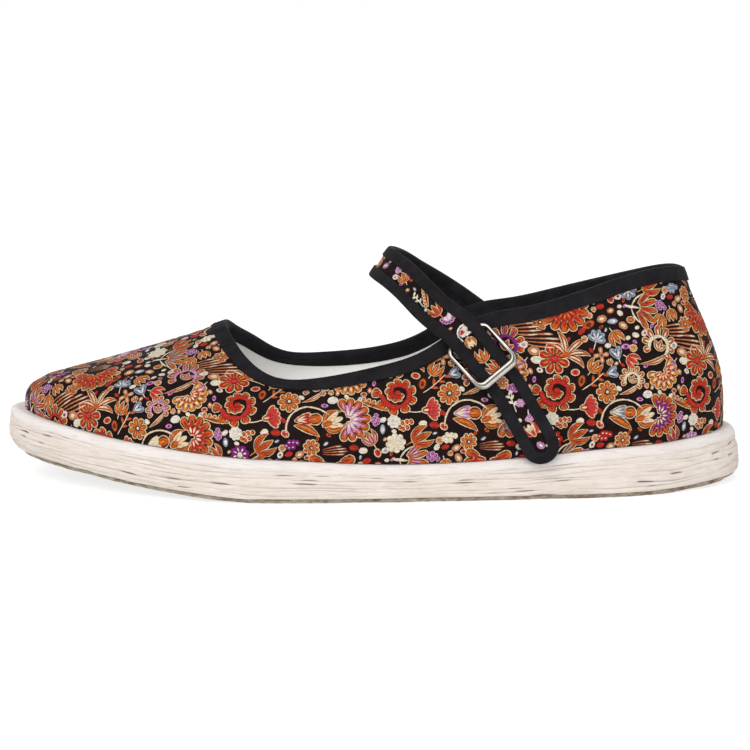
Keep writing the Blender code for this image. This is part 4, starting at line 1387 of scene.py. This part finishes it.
def woven(cloth, placements):
    """The petals of these motifs laid on the cloth, by thread."""
    batches = {name: [] for name in THREADS}
    for index, placed, spot, threads in placements:
        lift = 0.004 * (index % 9)
        facing = cmath.rect(1, math.radians(placed.turn))
        for petal in placed.kind(GROWTH * placed.size):
            level = LEVELS[min(petal.layer, len(LEVELS) - 1)] + lift
            name = threads[petal.role]
            shaded = petal.role != "hem" and petal.half > 0.28 and name in SHADED
            if shaded:
                batches[SHADED[name]].append(strip_of(petal, petal.half, spot, facing, level))
                level += SHADED_RISE
            half = petal.half * (SHADED_HALF if shaded else 1)
            batches[name].append(strip_of(petal, half, spot, facing, level))
    found = {}
    quads = grid_faces(len(EDGE_STATIONS), 3)
    for name, strips in batches.items():
        if not strips:
            continue
        places = np.array([strip for strip, _ in strips]).reshape(-1)
        heights = np.array([level for _, level in strips]).reshape(-1)
        points, inside = cloth.lay(places, heights / 1000)
        starts = 3 * len(EDGE_STATIONS) * np.arange(len(strips))
        faces = (starts[:, None, None] + quads[None]).reshape(-1, 4)
        faces = faces[inside[faces].sum(1) >= 2]
        used, faces = np.unique(faces, return_inverse=True)
        found[name] = points[used], faces.reshape(-1, 4), places[used]
    return found


# The pieces of the shoe


def build_upper():
    """The creased cloth of the upper with its brocade, and its lining."""
    angles, heights, points, normals, flat = build_cloth()
    ahead = grid_spot(points, 1, 0.050, 0.030)
    behind = grid_spot(points, 1, -0.085, 0.034)
    flat = flat / cmath.rect(1, cmath.phase(flat[behind] - flat[ahead])) * 1000
    flat = flat - flat[grid_spot(points, 1, CORNER_X, CORNER_Z)]
    depth = np.zeros(flat.shape)
    for crease in CREASES:
        share = crease.along
        angle = angle_at(share) if crease.side > 0 else 2 * math.pi - angle_at(share)
        spot = flat[int(round(angle / (2 * math.pi) * AROUND)), int(round(crease.up * UP))]
        away = (flat - spot) / cmath.rect(1000, math.radians(crease.turn))
        fall = np.exp(-((away.real / crease.run) ** 2) - (away.imag / crease.wide) ** 2)
        depth += crease.deep * fall
    depth += CLOTH_RIPPLE * waver(angles + 0.8 * heights, 3, (7, 11, 16, 23))
    depth *= np.sin(math.pi * heights) ** 0.7
    seam = np.minimum(angles, 2 * math.pi - angles)
    depth += BACK_SEAM_DEPTH * np.exp(-((seam / BACK_SEAM_WIDTH) ** 2))
    points = points - depth[..., None] * normals
    creased = np.cross(np.gradient(points, axis=1), np.gradient(points, axis=0))
    cloth = Cloth(points, units(creased), flat)
    rows, columns = flat.shape
    ground = ground_cloth()
    add_piece(
        "upper_cloth", points.reshape(-1, 3), grid_faces(rows, columns, flip=True), ground,
        ["upper"], flat.ravel(),
    )
    inside = points - UPPER_WALL * normals
    add_piece(
        "upper_lining", inside.reshape(-1, 3), grid_faces(rows, columns), LINING,
        ["upper"], flat.ravel(),
    )
    low = complex(flat.real.min(), flat.imag.min())
    high = complex(flat.real.max(), flat.imag.max())
    return ground, woven(cloth, over_upper(low, high))


def build_collar_binding():
    """The tape folded over the collar's edge, softly swollen between its fold and its hem."""
    angles = np.linspace(0, 2 * math.pi, AROUND, endpoint=False)
    width = COLLAR_BINDING_WIDTH
    shares = (0.0, 0.15, 0.4, 0.7, 0.92, 1.0)
    legs = down_from_collar(angles, [share * width for share in shares])
    far = CLEARANCE + TAPE
    edge, normal, down = legs[0]
    wave = TAPE_RIPPLE * waver(angles, 5, (9, 17, 26, 41))[:, None]
    loop = []
    for share, (point, out, way) in list(zip(shares, legs))[::-1]:
        swell = TAPE_SWELL * math.sin(math.pi * share)
        hem = (2.2 * wave if share == 1.0 else 0) * way
        loop.append(point + (far + swell + wave) * out + hem)
    for turn in np.radians((20, 50, 90, 130, 160)):
        across = (UPPER_WALL / 2 + far) * math.cos(turn) - UPPER_WALL / 2
        loop.append(edge + across * normal - far * math.sin(turn) * down)
    loop += [point - (UPPER_WALL + far) * out for point, out, _ in legs]
    loop += [point - (UPPER_WALL + TAPE_HOLLOW) * out for point, out, _ in legs[::-1]]
    loop += [point + TAPE_HOLLOW * out for point, out, _ in legs]
    points = np.stack(loop, 1)
    add_piece(
        "collar_tape", points.reshape(-1, 3), grid_faces(*points.shape[:2], True, True),
        BLACK_TAPE, ["collar_binding"],
    )
    seam, out, _ = down_from_collar(angles, [COLLAR_SEAM * width])[0]
    line = seam + (far + 0.0001) * out
    add_stitches("collar_stitches", line, out, TAPE_STITCH, BLACK_THREAD)


def add_stitches(name, line, normals, pitch, material, closed=True, thick=TAPE_THREAD):
    """A row of short stitches along a line, each sunk at its ends."""
    if closed:
        line, normals = np.vstack([line, line[:1]]), np.vstack([normals, normals[:1]])
    run = np.concatenate([[0], np.cumsum(np.linalg.norm(np.diff(line, axis=0), axis=1))])
    count = int(run[-1] / pitch)
    starts = (np.arange(count) + 0.15) * run[-1] / count
    shares = np.array([0.0, 0.12, 0.5, 0.88, 1.0])
    swell = np.array([0.45, 0.9, 1.0, 0.9, 0.45])
    sink = np.array([-1.0, 0.1, 0.55, 0.1, -1.0])
    along = starts[:, None] + shares * 0.66 * pitch

    def at(values):
        return np.stack([np.interp(along, run, column) for column in values.T], -1)

    middle, normal = at(line), units(at(normals))
    aside = units(np.cross(normal, np.gradient(middle, axis=1)))
    middle = middle + (sink * thick)[None, :, None] * normal
    turns = np.radians((0, 60, 120, 180, 240, 300))
    ring = [
        middle + thick * swell[None, :, None] * (math.cos(turn) * aside + math.sin(turn) * normal)
        for turn in turns
    ]
    points = np.stack(ring, 2)
    faces = grid_faces(len(shares), len(turns), False, True)
    starts = len(shares) * len(turns) * np.arange(count)
    faces = (starts[:, None, None] + faces[None]).reshape(-1, 4)
    add_piece(name, points.reshape(-1, 3), faces, material)


def build_strap(ground):
    """The strap's brocade, its black backing, its tape and its seams."""
    point, length = strap_line()
    half = STRAP_WIDTH / 2 - TAPE - CLEARANCE
    core_length = length - TAPE - CLEARANCE
    straight = np.linspace(0.0, core_length - half, STRAP_STATIONS)
    turn = core_length - half + half * np.sin(np.radians(np.arange(6, 89, 6)))
    along = np.concatenate([straight, turn])
    left = np.minimum(core_length - along, half)
    wide = np.sqrt(np.maximum(half**2 - (half - left) ** 2, 1e-10))
    shares = np.linspace(-1, 1, 13)
    across = np.where(shares[None] > 0, (wide + flare(along))[:, None], wide[:, None]) * shares[None]
    face = point(along[:, None], across, STRAP_CORE / 2)
    normal = units(np.cross(np.gradient(face, axis=0), np.gradient(face, axis=1)))
    flat = 1000 * (along[:, None] + 1j * across)
    back = point(along[:, None], across[:, ::-1], -STRAP_CORE / 2)
    loop = np.concatenate([face, back], 1)
    rows, columns = loop.shape[:2]
    mesh_flat = np.concatenate([flat, flat[:, ::-1]], 1).ravel()
    add_piece(
        "strap_cloth", loop.reshape(-1, 3), grid_faces(rows, columns, False, True), ground,
        ["strap"], mesh_flat,
    )
    near, far = -STRAP_CORE / 2 - BACKING_NEAR, -STRAP_CORE / 2 - BACKING_FAR
    loop = [point(along[:, None], across, near), point(along[:, None], across[:, ::-1], far)]
    add_piece(
        "strap_backing", np.concatenate(loop, 1).reshape(-1, 3), grid_faces(rows, columns, False, True),
        BLACK_TAPE, ["strap"],
    )
    cloth = Cloth(face, normal, flat)
    motifs = woven(cloth, along_strap(1000 * length))

    half = STRAP_WIDTH / 2
    bend = length - half
    straight = np.linspace(0.0, bend, STRAP_STATIONS)
    arc = np.radians(np.arange(-85, 90, 5))
    run = np.concatenate([straight, bend + half * np.cos(arc), straight[::-1]])
    side = np.concatenate([-half + 0 * straight, half * np.sin(arc), half + flare(straight[::-1])])
    in_along = np.concatenate([0 * straight, np.cos(arc), 0 * straight])
    in_across = np.concatenate([-1 + 0 * straight, np.sin(arc), 1 + 0 * straight])
    thin = STRAP_CORE / 2 + TAPE_HOLLOW
    thick = STRAP_CORE / 2 + CLEARANCE + TAPE
    leg = STRAP_BINDING_WIDTH
    profile = [(leg, thick - 0.00012), (0.93 * leg, thick), (0.6 * leg, thick + 0.00008)]
    profile += [(0.25 * leg, thick), (0.08 * leg, 0.88 * thick), (0.02 * leg, 0.6 * thick)]
    profile += [(0.0, 0.2 * thick)]
    profile += [(inward, -off) for inward, off in profile[::-1]]
    profile += [(leg, -thin), (TAPE, -thin), (TAPE, thin), (leg, thin)]
    ripple = STRAP_TAPE_RIPPLE * waver(run / length * 6, 9, (5, 9, 14, 22))
    rings = []
    for inward, off in profile:
        lift = off + np.sign(off) * ripple
        rings.append(point(run - inward * in_along, side - inward * in_across, lift))
    points = np.stack(rings, 1)
    add_piece(
        "strap_tape", points.reshape(-1, 3), grid_faces(*points.shape[:2], False, True),
        BLACK_TAPE, ["strap_binding"],
    )
    inset = STRAP_SEAM * leg
    line = point(run - inset * in_along, side - inset * in_across, thick)
    above = point(run - inset * in_along, side - inset * in_across, thick + 0.001)
    out = units(above - line)
    add_stitches("strap_stitches", line, out, TAPE_STITCH, BLACK_THREAD, closed=False)
    return point, length, motifs


def build_buckle(point, length):
    """The slide buckle: a rounded frame, flatter and doubly ridged at its foot."""
    over = STRAP_CORE / 2 + TAPE + 5 * CLEARANCE + BUCKLE_THICKNESS / 2
    between = BUCKLE_LENGTH - (BUCKLE_TOP_BAR + BUCKLE_FOOT_BAR) / 2
    top_at = BUCKLE_TOP_AT * length
    top_bar = point(top_at, 0.0, -over)
    foot_bar = point(top_at + between, 0.0, over)
    middle_at = top_at + between / 2
    down = units(foot_bar - top_bar)
    across = point(middle_at, 0.001, 0.0) - point(middle_at, -0.001, 0.0)
    across = units(across - across.dot(down) * down)
    out = np.cross(down, across)
    centre = top_bar + (BUCKLE_LENGTH - BUCKLE_TOP_BAR) / 2 * down

    def rim(length, width, radius, middle):
        """Points round a rectangle with round corners, the same number on each side and corner."""
        spots = []
        for corner, (sx, sy) in enumerate(((1, 1), (-1, 1), (-1, -1), (1, -1))):
            for k in range(13):
                turn = math.pi / 2 * (corner + k / 12)
                x = middle + sx * (length / 2 - radius) + radius * math.cos(turn)
                spots.append((x, sy * (width / 2 - radius) + radius * math.sin(turn)))
            nx, ny = ((-1, 1), (-1, -1), (1, -1), (1, 1))[corner]
            x0, y0 = spots[-1]
            turn = math.pi / 2 * (corner + 1)
            x1 = middle + nx * (length / 2 - radius) + radius * math.cos(turn)
            y1 = ny * (width / 2 - radius) + radius * math.sin(turn)
            spots += [(x0 + (x1 - x0) * k / 16, y0 + (y1 - y0) * k / 16) for k in range(1, 16)]
        return np.array(spots)

    window_width = STRAP_WIDTH + 2 * BUCKLE_PLAY
    outer = rim(BUCKLE_LENGTH, window_width + 2 * BUCKLE_SIDE_BAR, BUCKLE_CORNER, 0.0)
    inner = rim(
        BUCKLE_LENGTH - BUCKLE_TOP_BAR - BUCKLE_FOOT_BAR, window_width,
        BUCKLE_CORNER - BUCKLE_SIDE_BAR, (BUCKLE_TOP_BAR - BUCKLE_FOOT_BAR) / 2,
    )
    broad = np.linalg.norm(outer - inner, axis=1)
    double = np.clip((broad - BUCKLE_SIDE_BAR) / (BUCKLE_FOOT_BAR - BUCKLE_SIDE_BAR), 0, 1)
    rings, painted_dark = [], []
    for turn in np.linspace(0, 2 * math.pi, 48, endpoint=False):
        share = 0.5 - 0.5 * math.copysign(abs(math.cos(turn)) ** 0.9, math.cos(turn))
        rise = BUCKLE_THICKNESS / 2 * math.sin(turn)
        on_face = double if rise > 0 else 0 * double
        valley, step = (
            on_face * math.exp(-(((share - place) / wide) ** 2))
            for place, wide, _ in (BUCKLE_GROOVE, BUCKLE_STEP)
        )
        spot = outer + share * (inner - outer)
        height = rise - BUCKLE_GROOVE[2] * valley - BUCKLE_STEP[2] * step
        rings.append(centre + spot[:, :1] * down + spot[:, 1:] * across + height[:, None] * out)
        # Painted shade and dark reflections: darkest in the foot bar's grooves, dark along the side bars'
        # inner edges and round the outer edge
        edge = (1 - double) * min(1.0, max(0.0, 2.2 * share - 1.2))
        painted_dark.append(np.clip(valley + 0.75 * step + 0.6 * edge + 0.35 * (share < 0.16), 0, 1))
    points = np.stack(rings, 1)
    add_piece(
        "buckle", points.reshape(-1, 3), grid_faces(*points.shape[:2], True, True),
        nickel(), ["buckle_frame"], values={"painted_dark": np.stack(painted_dark, 1).ravel()},
    )


def sole_loop(angles, share, inset):
    """Points round the sole at a share of its thickness, moved in by insets beyond its own edge."""
    x, _ = outline(angles, 0.0)
    side, heel, toe = np.moveaxis(edge_insets(share), -1, 0)
    own = (side + (np.where(x < 0, heel, toe) - side) * end_blend(angles)) * SOLE_THICKNESS
    x, y = outline(angles, own + inset)
    return np.stack([x, y, sole_floor(x) + share * sole_thickness(x)], -1)


def closed_stack(rings):
    """Rings closed over their ends by flat strips across the sole: points and faces."""
    count = len(rings[0])
    points = np.concatenate(rings)
    faces = grid_faces(len(rings), count, False, True, flip=True).tolist()
    for start, flip in ((0, False), (len(points) - count, True)):
        for i in range(count // 2):
            corners = (i, i + 1, (count - i - 1) % count, (count - i) % count)
            corners = [start + j for j in dict.fromkeys(corners)]
            faces.append(corners[::-1] if flip else corners)
    return points, faces


def add_stack(name, rings, material, node, gaps=None):
    """A layer of the sole, with sharp edges; gaps says how deep each ring lies between two plies."""
    points, faces = closed_stack(rings)
    values = {"gap": np.concatenate(gaps)} if gaps else None
    made = add_piece(name, points, faces, material, [node], values=values)
    made.data.set_sharp_from_angle(angle=math.radians(55))


def ply_seam(angles, k):
    """How far two plies part round the sole: softly all along, and in short splits."""
    soft = np.clip(0.5 + 0.5 * waver(angles, 100 + k, (3, 7, 12, 19)), 0.1, 1)
    split = 2.4 * np.clip(waver(angles, 60 + k, (5, 13, 29, 47)) - 0.92, 0, 1)
    return soft, split


def build_sole():
    """The layered sole: uneven plies with gaps, a wrapped top layer and a grey-brown sheet on the floor."""
    angles = np.linspace(0, 2 * math.pi, SOLE_STATIONS, endpoint=False)
    x, _ = outline(angles, 0.0)
    thick = sole_thickness(x)
    low = (OUTSOLE_THICKNESS + LAYER_GAP) / thick
    high = (thick - TOP_LAYER_THICKNESS - LAYER_GAP) / thick
    marks = [0 * angles]
    for k in range(1, PLIES):
        marks.append((k + PLY_WAVER * waver(angles, 20 + k, (3, 5, 8, 13, 21))) / PLIES)
    marks.append(1 + 0 * angles)
    seams = [ply_seam(angles, k) for k in range(PLIES + 1)]
    rings, gaps = [], []
    for k in range(PLIES):
        proud = PLY_PROUD * waver(angles, 40 + k, (3, 5, 8, 13, 21, 34, 55))
        for share, near in ((0.0, 1.0), (0.13, 0.55), (0.32, 0.10), (0.68, 0.10), (0.87, 0.55)):
            soft, split = seams[k if share < 0.5 else k + 1]
            spot = marks[k] + share * (marks[k + 1] - marks[k])
            dent = near * (PLY_SOFT_GROOVE * soft + PLY_SPLIT * split) - proud
            rings.append(sole_loop(angles, low + spot * (high - low), dent))
            # How deep each ring lies between two plies, which the cotton shows as painted shade
            gaps.append(np.clip(near * (0.3 + 0.30 * soft) + near**3 * split, 0, 1))
    rings.append(sole_loop(angles, high, 0.0001 + 0 * angles))
    gaps.append(0.3 + 0 * angles)
    plies = layered_cotton("layered_cotton", srgb(244, 234, 225), srgb(234, 221, 209), srgb(208, 191, 176))
    add_stack("sole_plies", rings, plies, "layered_sole", gaps)

    rings = []
    wrinkle = waver(angles, 81, (31, 47, 62, 90, 121))
    lifted = 0.00005 + WRAP_LIFT * np.clip(waver(angles, 77, (4, 9, 15, 31)) - 0.5, 0, 1)
    grooves = ((0.0, lifted), (0.10, 0.3 * lifted), (0.3, 0), (0.6, 0), (0.88, 0.0001), (1.0, 0.0004))
    for share, groove in grooves:
        spot = high + 0.00004 / thick + share * (1 - high - 0.00004 / thick)
        swell = WRAP_SWELL * math.sin(math.pi * share)
        rings.append(sole_loop(angles, spot, groove - swell + WRAP_WRINKLE * wrinkle))
    for inset in (0.0012, 0.0024, 0.0040, 0.0065):
        rings.append(sole_loop(angles, 1 + 0 * angles, inset + 0 * angles))
    white = layered_cotton("wrapped_cotton", srgb(247, 240, 236), srgb(240, 230, 224), srgb(222, 208, 198))
    add_stack("sole_wrap", rings, white, "sole_top_layer")

    rings = []
    uneven = SHEET_UNEVEN * waver(angles, 91, (5, 9, 14, 23, 37))
    for share, groove in ((0.0, 0.0006), (0.3, 0.0001), (0.8, 0.0), (1.0, 0.0003)):
        inset = OUTSOLE_INSET - SHEET_OUT + groove + uneven
        rings.append(sole_loop(angles, share * OUTSOLE_THICKNESS / thick, inset))
    add_stack("sole_sheet", rings, floor_cotton(), "outsole")


def build_insole_stitches(insole):
    """A row of white stitches round the insole, a little in from its edge."""
    angles = np.linspace(0, 2 * math.pi, AROUND, endpoint=False)
    x, y = outline(angles, INSOLE_SEAM_INSET)
    spots = [insole.matrix_world @ corner.co for corner in insole.data.vertices]
    tree = BVHTree.FromPolygons(spots, [list(face.vertices) for face in insole.data.polygons])
    hits = [tree.ray_cast(Vector((*place, HEEL_HEIGHT)), Vector((0, 0, -1))) for place in zip(x, y)]
    line, normals = (np.array([hit[k] for hit in hits]) for k in (0, 1))
    add_stitches(
        "insole_stitches", line, normals, INSOLE_STITCH, thread("white", LINING_WHITE),
        thick=INSOLE_THREAD,
    )


# The studio: the floor's reach in metres, three broad lamps with their spread in degrees and the way to
# each, and the camera with its lens in millimetres
FLOOR_REACH = 12.0
FLOOR_GLOW = 0.70
Softbox = namedtuple("Softbox", "name energy spread source")
SOFTBOXES = (
    Softbox("overhead_softbox", 1.9, 50, (0.35, 0.75, 1.1)),
    Softbox("front_softbox", 1.1, 40, (-0.10, 0.94, 0.36)),
    Softbox("back_softbox", 0.7, 60, (0.10, -0.94, 0.50)),
)
CAMERA_PLACE, CAMERA_AIM = (-0.0008, 0.650, 0.145), (-0.0008, 0.0, 0.0359)
LENS, SENSOR = 90.48, 36.0


def build_stage():
    """A plain pale floor, soft light all round, and the camera at the photograph's place."""
    mesh = bpy.data.meshes.new("floor")
    corners = [(x * FLOOR_REACH, y * FLOOR_REACH, 0) for x, y in ((-1, -1), (1, -1), (1, 1), (-1, 1))]
    mesh.from_pydata(corners, [], [(0, 1, 2, 3)])
    made = Shader("plain_floor", 0.9, specular=0.1)
    mottle = made.noise(made.place("Object", (4, 4, 4)), 1.0)
    made.colour(made.mix(mottle, (0.36, 0.36, 0.36, 1.0), (0.38, 0.38, 0.38, 1.0)))
    made.main.inputs["Emission Color"].default_value = (1.0, 1.0, 1.0, 1.0)
    made.main.inputs["Emission Strength"].default_value = FLOOR_GLOW
    mesh.materials.append(made.material)
    ground = bpy.data.objects.new("floor", mesh)
    bpy.context.scene.collection.objects.link(ground)
    ground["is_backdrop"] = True

    world = bpy.data.worlds.new("studio")
    world.use_nodes = True
    world.node_tree.nodes["Background"].inputs["Color"].default_value = (1.0, 1.0, 1.0, 1.0)
    bpy.context.scene.world = world
    tree = world.node_tree
    direction = tree.nodes.new("ShaderNodeTexCoord").outputs["Generated"]
    parts = tree.nodes.new("ShaderNodeSeparateXYZ")
    tree.links.new(direction, parts.inputs[0])
    climb = tree.nodes.new("ShaderNodeMapRange")
    for name, value in {"From Min": 0.25, "From Max": 0.75, "To Min": 1.0, "To Max": 0.30}.items():
        climb.inputs[name].default_value = value
    tree.links.new(parts.outputs["Z"], climb.inputs["Value"])
    tree.links.new(climb.outputs["Result"], tree.nodes["Background"].inputs["Strength"])
    for softbox in SOFTBOXES:
        sun = bpy.data.lights.new(softbox.name, "SUN")
        sun.energy = softbox.energy
        sun.angle = math.radians(softbox.spread)
        lamp = bpy.data.objects.new(softbox.name, sun)
        lamp.rotation_euler = Vector(softbox.source).to_track_quat("Z", "Y").to_euler()
        bpy.context.scene.collection.objects.link(lamp)

    lens = bpy.data.cameras.new("camera")
    lens.lens = LENS
    lens.sensor_width = SENSOR
    camera = bpy.data.objects.new("camera", lens)
    camera.location = CAMERA_PLACE
    aim = Vector(CAMERA_AIM) - camera.location
    camera.rotation_euler = aim.to_track_quat("-Z", "Y").to_euler()
    bpy.context.scene.collection.objects.link(camera)
    bpy.context.scene.camera = camera
    bpy.context.scene.view_settings.view_transform = "Standard"


LINING_WHITE = (0.93, 0.92, 0.90, 1.0)
LINING = cotton("lining_cotton", LINING_WHITE, (0.86, 0.85, 0.82, 1.0))
BLACK_TAPE = black_tape()
FILLERS = gap_fillers()
BLACK_THREAD = thread("black", srgb(29, 27, 30))
ground, upper_motifs = build_upper()
build_collar_binding()
strap_point, strap_length, strap_motifs = build_strap(ground)
for thread_name, tint in THREADS.items():
    silk = thread(thread_name, tint)
    for where, motifs in (("upper", upper_motifs), ("strap", strap_motifs)):
        if thread_name in motifs:
            spots, corners, places = motifs[thread_name]
            add_piece(f"{where}_{thread_name}_silk", spots, corners, silk, (), places)
build_buckle(strap_point, strap_length)
build_sole()
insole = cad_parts["insole"]
insole.material_slots[0].material = LINING
build_insole_stitches(insole)
build_stage()

boxes = {"cad": cad_box, "visual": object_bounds()}
{name: [list(corner) for corner in box] for name, box in boxes.items()}
